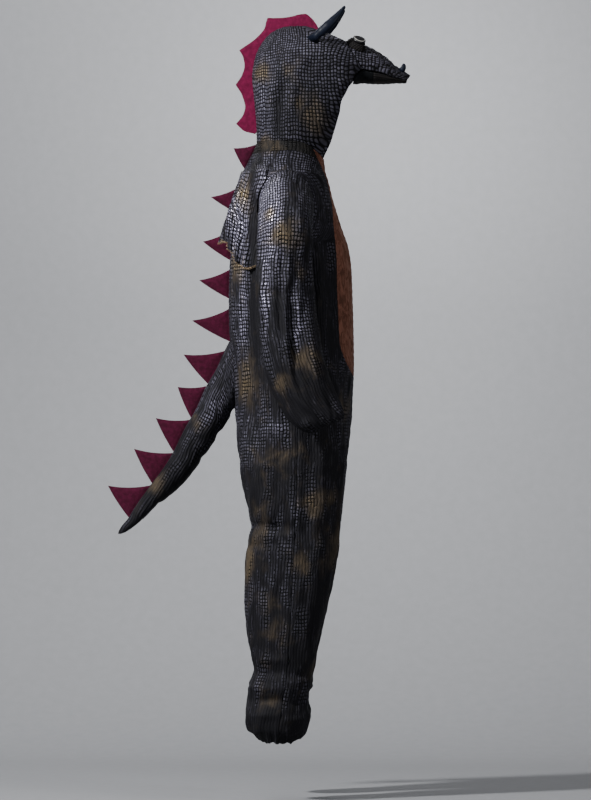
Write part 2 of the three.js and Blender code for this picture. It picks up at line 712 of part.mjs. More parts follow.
// A stuffed horn: its foot lies on the hood, and its rings follow a bent middle line to the tip.
function horn({ centre, spread, line, radii, columns }) {
  const [halfFoot, foot] = [0.5, 1].map((size) =>
    steps(0, 360, columns)
      .slice(0, -1)
      .map((turn) =>
        onHood(
          centre.station + spread.stations * size * Math.cos(radians(turn)),
          centre.degrees + spread.degrees * size * Math.sin(radians(turn)),
          ON_CLOTH,
        ),
      ),
  );
  const path = new THREE.QuadraticBezierCurve3(...line);
  const rings = radii.map(([part, radius]) => {
    const at = path.getPoint(part);
    const along = path.getTangent(part);
    const heart = middle(foot);
    return foot.map((v) => {
      const out = v.clone().sub(heart);
      out.addScaledVector(along, -out.dot(along));
      return at.clone().addScaledVector(out.normalize(), radius);
    });
  });
  const under = onHood(centre.station, centre.degrees, ON_CLOTH);
  return loft([[under], halfFoot, foot, ...rings, [path.getPoint(1)]]);
}

const HORN_FOOT = { station: 7.55, degrees: 58 };
addPair(
  "horn",
  horn({
    centre: HORN_FOOT,
    spread: { stations: 0.3, degrees: 8 },
    line: [onHood(HORN_FOOT.station, HORN_FOOT.degrees, 2), point(-102, -108, 343), point(-72, -138, 386)],
    radii: [
      [0.14, 9.5],
      [0.3, 11.6],
      [0.46, 11.2],
      [0.64, 9],
      [0.82, 6],
      [0.94, 4.4],
    ],
    columns: 12,
  }),
  HORN_SATIN,
);

const NOSTRIL_FOOT = { station: 16.66, degrees: 36 };
addPair(
  "nostril_horn",
  horn({
    centre: NOSTRIL_FOOT,
    spread: { stations: 0.32, degrees: 20 },
    line: [
      onHood(NOSTRIL_FOOT.station, NOSTRIL_FOOT.degrees, 1),
      point(-17, -279, 243),
      point(-16, -277, 253),
    ],
    radii: [
      [0.35, 6.8],
      [0.75, 5],
    ],
    columns: 8,
  }),
  HORN_SATIN,
);

// ---------------------------------------------------------------- tail

// Rings of the stuffed tail along its middle line, from the seat of the body to the tip.
const tailAt = curves(
  ["ring", "y", "z", "radius"], // rings below 0 lie inside the body, all but their outer line
  [
    [-3, 71, -410, 60],
    [-2, 87, -431, 56],
    [-1, 104, -455, 52],
    [0, 128, -494, 46],
    [1, 151, -530, 44],
    [2, 181, -586, 40.5],
    [3, 215.5, -643, 37.5],
    [4, 243, -689, 33.5],
    [5, 266, -721, 31],
    [6, 288, -746, 28],
    [7, 305, -764, 25],
    [8, 330, -790, 20],
    [9, 351, -816, 17],
    [10, 367, -835, 13],
    [11, 388, -854, 9],
    [12, 402, -866, 2.5], // tip
  ],
);
const TAIL_HEAD = -3;
const TAIL_TIP = 12;
const tailFolds = table(FOLD_COLUMNS, [
  // pinches across the underside, where the stuffing bends
  [1.5, 180, 0.16, 55, -4, 0],
  [2.4, 180, 0.16, 55, -4, 0],
  [3.5, 180, 0.18, 50, -4, 0],
  [7.6, 180, 0.2, 50, -3, 0],
]);

function tailFrame(ring) {
  const ahead = tailAt(Math.min(ring + 0.05, TAIL_TIP));
  const behind = tailAt(Math.max(ring - 0.05, TAIL_HEAD));
  const along = point(0, ahead.y - behind.y, ahead.z - behind.z).normalize();
  return { along, out: point(0, -along.z, along.y) };
}

// around is 0 on the outer line that carries the spikes, and 90 on the wearer's right.
function tailPoint(ring, degrees) {
  const { y, z, radius } = tailAt(ring);
  const { out } = tailFrame(ring);
  const turn = radians(degrees);
  const size = radius + foldHeight(tailFolds, ring, Math.abs(degrees));
  return point(RIGHT * size * Math.sin(turn), y, z).addScaledVector(out, size * Math.cos(turn));
}

// The ring number at which the tail's surface comes clear of the body's back.
const TAIL_CLEAR = 2.5; // clearance between the tail and the back, which has folds of its own
function rootRing(degrees) {
  let [low, high] = [TAIL_HEAD, 2];
  for (let i = 0; i < 40; i++) {
    const trial = (low + high) / 2;
    const at = tailPoint(trial, degrees);
    const { outer, back, side } = bodyAt(at.z);
    const surface = side + (back - side) * Math.sqrt(1 - (at.x / outer) ** 2);
    if (at.y < surface + TAIL_CLEAR) low = trial;
    else high = trial;
  }
  return high;
}

// The first rings even out from the slanted root to a square ring.
const TAIL_SQUARE = 2.1;
const tailTurns = steps(-180, 180, 16).slice(0, -1);
const rootRings = [0, 0.2, 0.42, 0.7].map((part) =>
  tailTurns.map((turn) => tailPoint(between(rootRing(turn), TAIL_SQUARE, part), turn)),
);
const squareRings = [TAIL_SQUARE, 2.4, 2.65, 3.2, 3.5, 3.8, 4.5, 5.3, 6.2, 7, 7.6, 8.2, 9, 10, 11, 11.7].map(
  (ring) => tailTurns.map((turn) => tailPoint(ring, turn)),
);
const tailTip = tailPoint(TAIL_TIP, 0).lerp(tailPoint(TAIL_TIP, 180), 0.5);
addPiece("tail", loft([[middle(rootRings[0])], ...rootRings, ...squareRings, [tailTip]]), BLACK_SCALES);

// ---------------------------------------------------------------- felt crest and spikes

const FELT_EDGE = 1.5; // half thickness at a felt piece's rim
const FELT_MIDDLE = 5; // half thickness of a padded spike

// A padded flat piece in the middle plane, from its outline as [y, z] points.
function feltPillow(outline, fullHalf) {
  const centre = new THREE.Vector2();
  outline.forEach(([y, z]) => centre.add(new THREE.Vector2(y, z)));
  centre.divideScalar(outline.length);
  const loop = (size, x) =>
    outline.map(([y, z]) => point(x, between(centre.x, y, size), between(centre.y, z, size)));
  return loft([
    [point(-fullHalf, centre.x, centre.y)],
    loop(0.62, -fullHalf * 0.8),
    loop(1, -FELT_EDGE),
    loop(1, FELT_EDGE),
    loop(0.62, fullHalf * 0.8),
    [point(fullHalf, centre.x, centre.y)],
  ]);
}

// The lines that felt pieces stand on: the centre back and the tail's outer line, both by height.
const backLine = (height) => {
  const at = bodyPoint(height, 270);
  return [at.y + ON_CLOTH, at.z];
};
const tailLine = (height) => {
  const at = (ring) => tailPoint(ring, 0).addScaledVector(tailFrame(ring).out, ON_CLOTH);
  let [upper, lower] = [TAIL_HEAD, TAIL_TIP];
  for (let i = 0; i < 40; i++) {
    const trial = (upper + lower) / 2;
    if (at(trial).z > height) upper = trial;
    else lower = trial;
  }
  return [at(upper).y, at(upper).z];
};

const SPIKE_BOW = 0.05; // how far a spike's sides bow out, as a share of their length

function spikeOutline(line, from, to, tip) {
  const base = steps(from, to, 4).map(line);
  const side = (a, b, bow) => {
    const [dy, dz] = [b[0] - a[0], b[1] - a[1]];
    const bowed = (t) => 4 * bow * t * (1 - t);
    return [0.33, 0.67].map((t) => [
      between(a[0], b[0], t) - dz * bowed(t),
      between(a[1], b[1], t) + dy * bowed(t),
    ]);
  };
  const foot = base[base.length - 1];
  return [...base, ...side(foot, tip, -SPIKE_BOW / 2), tip, ...side(tip, base[0], SPIKE_BOW)];
}

// from and to are the heights at which a spike's foot starts and ends.
const backSpikes = table(
  ["from", "to", "tipY", "tipZ"],
  [
    [64, 8, 127, 52],
    [-40, -100, 181, -64],
    [-140, -215, 200, -170],
    [-236, -306, 209, -262],
    [-330, -409, 226, -358],
  ],
);
const tailSpikes = table(
  ["from", "to", "tipY", "tipZ"],
  [
    [-430, -509, 246, -439],
    [-514, -591, 260, -516],
    [-594, -671, 312, -590],
    [-673, -746, 364, -663],
    [-750, -828, 426, -751],
  ],
);
backSpikes.forEach(({ from, to, tipY, tipZ }, i) =>
  addPiece(
    `back_spike_${i + 1}`,
    feltPillow(spikeOutline(backLine, from, to, [tipY, tipZ]), FELT_MIDDLE),
    CRIMSON_FELT,
  ),
);
tailSpikes.forEach(({ from, to, tipY, tipZ }, i) =>
  addPiece(
    `tail_spike_${i + 1}`,
    feltPillow(spikeOutline(tailLine, from, to, [tipY, tipZ]), FELT_MIDDLE),
    CRIMSON_FELT,
  ),
);

// The crest is one strip of felt along the hood's middle seam. Its outer edge runs in hollow curves from
// one point to the next. station is where on the hood each edge point's foot is.
const crestEdge = table(
  ["station", "y", "z"],
  [
    [9.0, -76, 337], // starts behind the horns
    [8.75, -66, 353],
    [8.4, -55, 365],
    [8.0, -43, 372], // round front lobe
    [7.6, -28, 370],
    [7.2, -8, 365],
    [6.8, 20, 362],
    [6.2, 46.5, 362], // point
    [5.95, 50, 350],
    [5.75, 53, 338],
    [5.4, 72, 315],
    [4.9, 113.5, 285], // point
    [4.4, 104, 268],
    [3.9, 101, 248],
    [3.3, 107, 226],
    [2.75, 122, 203], // point
    [2.35, 107, 178],
    [1.9, 99.5, 151],
    [1.5, 104, 132],
    [1.15, 121, 110], // point
    [0.8, 100, 92],
    [0.45, 76, 86], // ends at the nape
  ],
);

function feltCrest() {
  const feet = crestEdge.map(({ station }) => onHood(station, 0, ON_CLOTH));
  const rims = crestEdge.map(({ y, z }) => point(0, y, z));
  const rings = feet.map((foot, i) => {
    const rim = rims[i];
    const half = (part) => between(FELT_MIDDLE * 0.8, FELT_EDGE, part);
    const side = (sign) => [0, 0.5, 1].map((part) => foot.clone().lerp(rim, part).setX(sign * half(part)));
    return [...side(RIGHT), ...side(-RIGHT).reverse()];
  });
  return loft([[middle(rings[0])], ...rings, [middle(rings[rings.length - 1])]]);
}
addPiece("crest", feltCrest(), CRIMSON_FELT);

export default onesie;
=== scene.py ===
# %% [markdown]
# # A dragon onesie, cut and sewn in Blender
# The real garment is a hooded jumpsuit in black cloth embossed with reptile scales, with a velour belly,
# a stuffed snout and tail, and felt spikes. It is worn, so its cloth keeps the hollow form of a figure.
# Every piece below is a surface worked out from a short table of sizes, then given the cloth's thickness.

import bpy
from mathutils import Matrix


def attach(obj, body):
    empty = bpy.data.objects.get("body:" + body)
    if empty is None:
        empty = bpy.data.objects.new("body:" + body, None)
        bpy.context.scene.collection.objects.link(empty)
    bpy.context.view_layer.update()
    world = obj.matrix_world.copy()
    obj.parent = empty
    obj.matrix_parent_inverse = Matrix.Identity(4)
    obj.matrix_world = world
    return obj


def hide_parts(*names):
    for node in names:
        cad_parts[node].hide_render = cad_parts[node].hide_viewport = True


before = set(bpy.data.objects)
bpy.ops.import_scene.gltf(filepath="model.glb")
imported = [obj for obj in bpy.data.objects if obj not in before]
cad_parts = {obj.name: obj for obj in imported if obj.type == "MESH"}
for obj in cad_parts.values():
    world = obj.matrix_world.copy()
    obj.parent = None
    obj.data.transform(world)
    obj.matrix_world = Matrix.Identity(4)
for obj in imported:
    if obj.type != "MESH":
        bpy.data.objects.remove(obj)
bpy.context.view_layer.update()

import math

import bpy
import numpy as np
from mathutils import Vector

MM = 0.001

# %% [markdown]
# ## Camera, floor and light
# The viewer stands fourteen metres from the wearer's right side and looks level at the garment's middle.
# From so far away the near and the far side are almost the same size, as through a long lens.

# %% Camera
RIGHT = -1  # the sign of X on the wearer's right
VIEW_DISTANCE = 14.0
VIEW_CENTRE = (0.0, -0.0204, -0.5472)
VIEW_HEIGHT = 1.904  # metres of the garment's plane that the frame's long side takes in
SENSOR = 36.0

camera_data = bpy.data.cameras.new("camera")
camera_data.sensor_width = SENSOR
camera_data.lens = SENSOR * VIEW_DISTANCE / VIEW_HEIGHT
camera = bpy.data.objects.new("camera", camera_data)
bpy.context.scene.collection.objects.link(camera)
camera.location = (RIGHT * VIEW_DISTANCE, VIEW_CENTRE[1], VIEW_CENTRE[2])
camera.rotation_euler = (math.pi / 2, 0, -math.pi / 2)
bpy.context.scene.camera = camera

# %% [markdown]
# The lamps are round and soft. The strongest is small and stands behind the wearer's right shoulder, so
# that the foil glints. The others are larger and weaker. They fill the front, the sides and the top, and
# the last one lights the paper wall.

# %% Light
def soft_light(name, place, aim, size, watts, colour=(1, 1, 1)):
    data = bpy.data.lights.new(name, "AREA")
    data.shape = "DISK"
    data.size = size
    data.energy = watts
    data.color = colour
    light = bpy.data.objects.new(name, data)
    light.location = place
    light.rotation_euler = (Vector(aim) - Vector(place)).to_track_quat("-Z", "Y").to_euler()
    bpy.context.scene.collection.objects.link(light)


soft_light("key_back", (-2.2, 2.6, 1.7), (0, 0.05, 0), 0.35, 330)
soft_light("key_front", (-2.6, -3.0, 0.9), (0, 0, -0.5), 0.6, 45)
soft_light("fill_side", (-4.5, 0.4, 1.8), (0, 0, -0.4), 2.0, 16)
soft_light("far_side", (2.2, 0.8, 1.6), (0, 0, -0.4), 1.4, 30)
soft_light("overhead", (0, 0, 2.6), (0, 0, 0), 1.6, 18)
soft_light("backdrop_glow", (1.5, -0.25, 0.3), (2.6, -0.25, 0.1), 0.8, 26)

world = bpy.data.worlds.new("studio_air")
world.use_nodes = True
world.node_tree.nodes["Background"].inputs["Color"].default_value = (0.8, 0.82, 0.85, 1)
world.node_tree.nodes["Background"].inputs["Strength"].default_value = 0.15
bpy.context.scene.world = world

# %% [markdown]
# ## Curves and tables
# A pattern cutter writes a garment down as a few measurements at a few heights. The tables do the same,
# and a smooth curve runs through each column. The curve never overshoots between two rows, so a narrow
# place stays where it was measured.

# %% Curves
def smooth_curve(places, values):
    order = np.argsort(places)
    x = np.asarray(places, float)[order]
    y = np.asarray(values, float)[order]
    secant = np.diff(y) / np.diff(x)
    before, after = secant[:-1], secant[1:]
    total = np.where(before + after == 0, 1, before + after)
    slope = np.empty_like(y)
    slope[0], slope[-1] = secant[0], secant[-1]
    slope[1:-1] = np.where(before * after <= 0, 0, 2 * before * after / total)

    def at(t):
        t = np.asarray(t, float)
        i = np.clip(np.searchsorted(x, t, side="right") - 1, 0, len(x) - 2)
        step, rise = x[i + 1] - x[i], y[i + 1] - y[i]
        u = (t - x[i]) / step
        a, b = slope[i] * step - rise, rise - slope[i + 1] * step
        inside = y[i] + u * rise + u * (1 - u) * (a * (1 - u) + b * u)
        low, high = y[0] + slope[0] * (t - x[0]), y[-1] + slope[-1] * (t - x[-1])
        return np.where(t <= x[0], low, np.where(t >= x[-1], high, inside))

    return at


def curves(columns, rows):
    names = columns.split()
    parts = {
        name: smooth_curve([row[0] for row in rows], [row[i] for row in rows])
        for i, name in enumerate(names)
        if i
    }
    return lambda t: [parts[name](t) for name in names[1:]]


def point(x, y, z):
    return np.stack(np.broadcast_arrays(np.asarray(x, float), y, z), -1)


def sine(degrees):
    return np.sin(np.radians(degrees))


def cosine(degrees):
    return np.cos(np.radians(degrees))


def normals(surface, a, b, step):
    along_a = surface(a + step[0], b) - surface(a - step[0], b)
    along_b = surface(a, b + step[1]) - surface(a, b - step[1])
    n = np.cross(along_a, along_b)
    return n / np.linalg.norm(n, axis=-1, keepdims=True)


def fold_height(folds, along, around):
    height = np.zeros(np.broadcast(along, around).shape)
    for at_along, at_around, length, width, depth, slant in folds:
        down = along - at_along
        across = around - at_around - slant * down
        height += depth * np.exp(-((down / length) ** 2) - (across / width) ** 2)
    return height


# %% [markdown]
# ## The body's form
# Half of the body is a tube. Down to the hips its centre is in the middle of the body, and the middle
# plane cuts it. Below them the centre moves out until the tube is a leg of its own, which also makes the
# crotch seam's curve. Sizes are in millimetres, and the origin is midway between the shoulders.

# %% Body
BODY_COLUMNS = "height front_rise back_rise outer leg_shift front back side"
BODY = [
    (68, -42, -2, 78, 0, -88, 72, -8),  # neckline
    (56, -38, -4, 81, 0, -89, 77, -6),
    (44, -33, -6, 87, 0, -90, 83, -4),  # foot of the collar
    (30, -26, -8, 101, 0, -91, 91, -2),
    (16, -20, -7, 122, 0, -92, 98, 0),
    (3, -15, -5, 143, 0, -94, 105, 0),
    (-10, -10, -3, 155, 0, -97, 110, 0),  # shoulder point
    (-30, -5, -1, 161, 0, -101, 114, 0),
    (-60, 0, 0, 164, 0, -107, 120, 0),
    (-91, 0, 0, 164, 0, -116, 124, 0),
    (-139, 0, 0, 165, 0, -131, 130, -2),
    (-187, 0, 0, 166, 0, -147, 134, -5),  # chest, under the arms
    (-235, 0, 0, 168, 0, -154, 137, -9),
    (-307, 0, 0, 170, 0, -157, 139, -14),
    (-379, 0, 0, 172, 0, -159, 138, -18),
    (-451, 0, 0, 177, 0, -160, 130, -22),
    (-560, 0, 0, 187, 0, -156, 125, -26),  # hips
    (-600, 0, 0, 188, 28, -154, 122, -26),
    (-640, 0, 0, 189, 55, -150, 119, -26),
    (-670, 0, 0, 189.5, 76, -148, 116, -26),
    (-690, 0, 0, 190, 89, -147, 114, -25),
    (-703, 0, 0, 190.6, 95.5, -146, 113, -25),  # crotch
    (-718, 0, 0, 190, 96.5, -144, 110, -24),
    (-758, 0, 0, 189, 98, -140, 104, -24),
    (-805, 0, 0, 187, 100, -134.5, 94, -22),
    (-848, 0, 0, 184, 102, -128.5, 86.5, -20),  # crumpled behind the knee
    (-885, 0, 0, 182, 103, -126.5, 95, -18),
    (-941, 0, 0, 180, 104, -120, 101, -15),
    (-1000, 0, 0, 179, 105, -107, 102, -12),
    (-1070, 0, 0, 177, 107, -93.5, 100, -9),
    (-1117, 0, 0, 175, 108, -81, 94, -6),
    (-1164, 0, 0, 171, 109, -72, 84, -3),
    (-1192, 0, 0, 169, 109, -66, 82.5, 0),  # pulled in above the ankle
    (-1228, 0, 0, 171, 110, -60, 91, 4),
    (-1246, 0, 0, 169, 110, -55, 94, 8),
    (-1274, 0, 0, 171, 110, -52, 98, 12),
    (-1293, 0, 0, 170, 110, -57, 98, 14),  # bag of cloth over the elastic
    (-1325, 0, 0, 167, 110, -50, 94, 18),
    (-1342, 0, 0, 157, 110, -41, 74, 18),
    (-1357, 0, 0, 146, 110, -14, 50, 18),  # hem
]
body_at = curves(BODY_COLUMNS, BODY)

# Each fold: height and angle of its middle, half length, half width in degrees, depth, slant.
# The angle is 90 at the centre front, 180 at the side and 270 at the centre back.
BODY_FOLDS = [
    (-270, 138, 130, 6, -5, 0),
    (-300, 152, 150, 6, 5, 0.01),
    (-190, 166, 60, 5, -4, 0.04),
    (-480, 150, 80, 8, -4, -0.05),
    (-360, 236, 160, 6, 6, 0),
    (-400, 222, 170, 6, -6, 0),
    (-430, 206, 140, 6, 5, 0),
    (-600, 240, 90, 7, 5, 0.03),
    (-785, 120, 90, 14, -5, 0.04),
    (-795, 230, 60, 16, 6, -0.05),
    (-856, 205, 22, 40, -6, 0),
    (-874, 60, 40, 16, 5, 0.1),
    (-950, 150, 110, 14, 4, 0.06),
    (-1048, 215, 90, 16, -5, -0.05),
    (-1106, 100, 80, 16, -4, 0.08),
    (-1178, 240, 16, 50, -5, 0),
    (-1207, 150, 14, 40, 4, 0),
    (-1234, 95, 10, 34, -4, 0),
    (-1258, 200, 14, 50, -4, 0),
    (-1283, 70, 14, 30, 4, 0),
    (-1306, 250, 14, 36, 4, 0),
]


def body_point(height, degrees):
    front_rise, back_rise, outer, leg_shift, front, back, side = body_at(height)
    c, s = cosine(degrees), sine(degrees)
    across = outer - leg_shift
    depth = np.where(s >= 0, side - front, back - side)
    size = np.hypot(c * depth, s * across)
    fold = fold_height(BODY_FOLDS, height, degrees)
    return point(
        RIGHT * leg_shift + across * c + c * depth / size * fold,
        side - depth * s - s * across / size * fold,
        height + np.where(s >= 0, front_rise, back_rise) * s * s,
    )


BODY_STEP = (1, 0.5)
SEAM = 0.3
COLLAR_FOOT, NECKLINE, HEM = 44, 68, -1357
BELLY_END, BELLY_TURN, BELLY_HALF = -492, -405, 114
belly_upper = smooth_curve(
    (68, 20, -31, -79, -127, -187, -283, BELLY_TURN), (56, 46, 41, 52, 82, 103, 112, BELLY_HALF)
)


def belly_half(height):
    down = np.clip((BELLY_TURN - height) / (BELLY_TURN - BELLY_END), 0, 1)
    return np.where(height >= BELLY_TURN, belly_upper(height), BELLY_HALF * np.sqrt(1 - down**2))


def front_angle(height, from_middle):
    return 90 + np.degrees(np.arcsin(from_middle / body_at(height)[2]))


def inner_front(height):
    _, _, outer, leg_shift, front, _, side = body_at(height)
    opened = (leg_shift - SEAM / 2) / (outer - leg_shift)
    return np.degrees(np.arccos(np.minimum(opened, np.cos(SEAM / 2 / (side - front)))))


ARMHOLE_HEIGHT, ARMHOLE_HALF_HEIGHT, ARMHOLE_HALF_DEPTH = -90, 84, 62


def armhole_angle(height, depth):
    up = np.clip((height - ARMHOLE_HEIGHT) / ARMHOLE_HALF_HEIGHT, -1, 1)
    return np.degrees(np.arcsin(ARMHOLE_HALF_DEPTH * np.sqrt(1 - up**2) / depth))


SEAM_ANGLE = np.degrees(0.1 / 2 / 150)  # half of 0.1 mm, seen from 150 mm away


def outer_front(height):
    _, _, _, _, front, _, side = body_at(height)
    return 180 - armhole_angle(height, side - front) - SEAM_ANGLE


def outer_back(height):
    _, _, _, _, _, back, side = body_at(height)
    return 180 + armhole_angle(height, back - side) + SEAM_ANGLE


# %% [markdown]
# ## Blotches, foil wear and painted light
# The bronze of the print, the places where the foil is worn off, and the painted light and painted shade on
# the foil don't repeat, so each one is a soft spot in a table. Every point of the cloth takes two strengths
# from the spots, by where it lies and which way it faces, and the finish reads them there.

# %% Blotches, foil wear and painted light
# Where the print is bronze on the wearer's right, with one painted highlight: y, z, half width, half height,
# strength.
BRONZE_RIGHT = [
    (50, 60, 26, 16, 0.8),
    # The thin band along the lower lip's edge is a painted highlight, drawn as bronze.
    (-235, 204, 44, 4, 1.1),
    (60, 228, 18, 22, 0.9),
    (-7, 235, 15, 22, 0.6),
    (-31, 158, 16, 22, 0.6),
    (-68, 116, 24, 34, 0.9),
    (103, -55, 16, 40, 0.9),
    (38, -115, 10, 14, 0.7),
    (4, -158, 28, 26, 1.0),
    (-29, -245, 12, 20, 0.7),
    (-48, -458, 26, 30, 0.9),
    (12, -511, 14, 18, 0.8),
    (98, -480, 12, 40, 0.7),
    (19, -677, 46, 28, 0.5),
    (-77, -780, 42, 20, 0.8),
    (-60, -806, 14, 36, 0.7),
    (72, -835, 26, 50, 0.5),
    (96, -919, 12, 40, 0.9),
    (-36, -934, 20, 20, 0.7),
    (30, -1075, 26, 46, 0.5),
    (29, -1255, 16, 14, 0.6),
    (60, -1236, 10, 40, 0.4),
    (312, -744, 18, 20, 0.9),
    (216, -595, 10, 14, 0.7),
]
# And on the other side, which has the same cloth with its print in other places.
BRONZE_LEFT = [(-0.7 * y + 20, z - 70, dy, dz, s) for y, z, dy, dz, s in BRONZE_RIGHT]
# On the front and the back: x, z, half width, half height, strength.
BRONZE_FRONT = [
    (-90, -570, 34, 30, 0.8),
    (70, -640, 40, 34, 0.8),
    (-130, -900, 34, 44, 0.8),
    (90, -1010, 30, 50, 0.7),
    (-100, -1180, 30, 28, 0.6),
    (135, -60, 20, 36, 0.7),
]
BRONZE_BACK = [
    (-80, -230, 30, 44, 0.8),
    (96, -330, 34, 40, 0.8),
    (-110, -520, 32, 36, 0.7),
    (90, -700, 36, 44, 0.8),
    (-100, -930, 34, 44, 0.8),
    (110, -1120, 34, 40, 0.7),
    (40, 250, 26, 30, 0.8),
]
# Painted light on the foil (above 0), and wear and painted shade (below 0), on both sides: y, z, half sizes,
# strength.
FOIL_WEAR_AND_PAINTED_LIGHT = [
    (-30, 210, 90, 120, -0.1),
    (62, 190, 40, 100, 0.2),
    (-60, 300, 60, 30, 0.15),
    (20, 130, 14, 60, -0.35),
    (-40, 120, 26, 50, -0.35),
    (40, -60, 50, 60, 0.4),
    # The narrow dark bands near y 76 to 80 are painted shadow in the valley between the sleeve and the back.
    (80, -120, 10, 110, -0.8),
    (112, -110, 26, 90, 0.55),
    (38, -150, 36, 90, 0.5),
    (-2, -110, 12, 90, -0.45),
    (104, -340, 14, 120, 0.35),
    (76, -350, 12, 120, -0.9),
    (52, -310, 14, 70, 0.5),
    (20, -330, 20, 60, -0.3),
    (-24, -380, 16, 100, 0.3),
    (-76, -330, 16, 110, -0.3),
    (-110, -300, 24, 150, -0.25),
    (10, -500, 50, 60, -0.25),
    (-60, -520, 50, 50, -0.4),
    (180, -560, 40, 50, 0.2),
    (300, -740, 120, 120, -0.3),
    (110, -620, 30, 60, 0.1),
    (20, -610, 26, 24, 0.3),
    (-60, -690, 60, 50, -0.35),
    (50, -760, 60, 50, -0.3),
    (-20, -800, 30, 30, 0.15),
    (-90, -1000, 60, 120, -0.35),
    (80, -1010, 30, 70, 0.0),
    (0, -1150, 90, 60, -0.3),
    (20, -1310, 90, 60, -0.5),
    (0, -900, 300, 330, -0.12),
    (-50, -565, 50, 46, -0.5),
]


def blotches(across, up, spots):
    total = np.zeros(across.shape)
    for at_across, at_up, half_width, half_height, strength in spots:
        far = ((across - at_across) / half_width) ** 2 + ((up - at_up) / half_height) ** 2
        total = np.maximum(total, strength * np.exp(-((far / 2.2) ** 1.2)))
    return total


def bronze_of(places, facing):
    x, y, z = np.moveaxis(places, -1, 0)
    nx, ny = facing[..., 0], facing[..., 1]
    return (
        blotches(y, z, BRONZE_RIGHT) * np.clip(-nx * 2, 0, 1)
        + blotches(y, z, BRONZE_LEFT) * np.clip(nx * 2, 0, 1)
        + blotches(x, z, BRONZE_FRONT) * np.clip(-ny * 2 - 0.6, 0, 1)
        + blotches(x, z, BRONZE_BACK) * np.clip(ny * 2 - 0.6, 0, 1)
    )


def foil_wear_and_painted_light_of(places):
    _, y, z = np.moveaxis(places, -1, 0)
    # The strength of painted light on the foil, lowered by wear and painted shade; 0.5 is plain foil.
    foil_wear_and_painted_light = np.full(y.shape, 0.5)
    for at_y, at_z, half_depth, half_height, strength in FOIL_WEAR_AND_PAINTED_LIGHT:
        far = ((y - at_y) / half_depth) ** 2 + ((z - at_z) / half_height) ** 2
        foil_wear_and_painted_light += strength * np.exp(-far)
    return np.clip(foil_wear_and_painted_light, 0, 1)


# %% [markdown]
# ## Materials
# Colours are written as sRGB hex codes and turned into linear light here. Pattern sizes are real
# millimetres, because the UV map is in metres.

# %% Node helpers
def linear(code):
    parts = [int(code[i : i + 2], 16) / 255 for i in (1, 3, 5)]
    return [c / 12.92 if c <= 0.04045 else ((c + 0.055) / 1.055) ** 2.4 for c in parts] + [1]


def add_node(tree, kind, inputs, **settings):
    node = tree.nodes.new("ShaderNode" + kind)
    for key, value in settings.items():
        setattr(node, key, value)
    for key, value in inputs.items():
        socket = node.inputs[key]
        if isinstance(value, bpy.types.NodeSocket):
            tree.links.new(value, socket)
        else:
            socket.default_value = value
    return node


def new_material(name, **constant):
    material = bpy.data.materials.new(name)
    material.use_nodes = True
    tree = material.node_tree
    shader = tree.nodes["Principled BSDF"]
    for socket, value in constant.items():
        shader.inputs[socket.replace("_", " ")].default_value = value
    return material, tree, shader


def grain_mm(tree, across, along, shift=0.0):
    """The cloth's UV map, counted in pattern repeats of so many millimetres."""
    uv = add_node(tree, "UVMap", {}, uv_map="grain").outputs["UV"]
    scale = (1 / (across * MM), 1 / (along * MM), 1)
    return add_node(tree, "Mapping", {"Vector": uv, "Location": (shift, shift, 0), "Scale": scale}).outputs[0]


def stored(tree, name):
    return add_node(tree, "Attribute", {}, attribute_name=name).outputs["Fac"]


def noise(tree, vector, scale=1.0, detail=3.0, rough=0.5, warp=0.0):
    inputs = {"Vector": vector, "Scale": scale, "Detail": detail, "Roughness": rough, "Distortion": warp}
    return add_node(tree, "TexNoise", inputs).outputs["Fac"]


def maths(tree, operation, a, b=0.0, c=0.0, clamp=False):
    return add_node(tree, "Math", {0: a, 1: b, 2: c}, operation=operation, use_clamp=clamp).outputs[0]


def smooth(tree, value, low, high, to_low=0.0, to_high=1.0):
    inputs = {"Value": value, "From Min": low, "From Max": high, "To Min": to_low, "To Max": to_high}
    return add_node(tree, "MapRange", inputs, interpolation_type="SMOOTHSTEP").outputs["Result"]


def mix(tree, factor, a, b, blend="MIX"):
    inputs = {"Factor": factor, 6: a, 7: b}
    return add_node(tree, "Mix", inputs, data_type="RGBA", blend_type=blend).outputs[2]


def bump(tree, height, distance, strength=1.0, under=None):
    inputs = {"Height": height, "Distance": distance * MM, "Strength": strength}
    if under:
        inputs["Normal"] = under
    return add_node(tree, "Bump", inputs).outputs["Normal"]


def connect(tree, shader, **sockets):
    for name, value in sockets.items():
        tree.links.new(value, shader.inputs[name.replace("_", " ")])


# %% [markdown]
# The scale cloth is a short black velour with crocodile scales pressed into it and foil on their tops.
# The scales stand in columns along the grain, each column a little higher or lower than the next, and
# slow noises bend the columns. Each scale is a rounded dome, and the groove round it is painted near black
# as painted shade. Where the cloth is rubbed, and where painted shade lies, the ovals run together into ribs
# and fade into plain nap. The stored blotches turn nap and foil to a smoky bronze, and the stored painted
# light and wear brighten and dull the foil.

# %% Scale cloth
OVAL = 2.9  # 2 is an ellipse, more is squarer


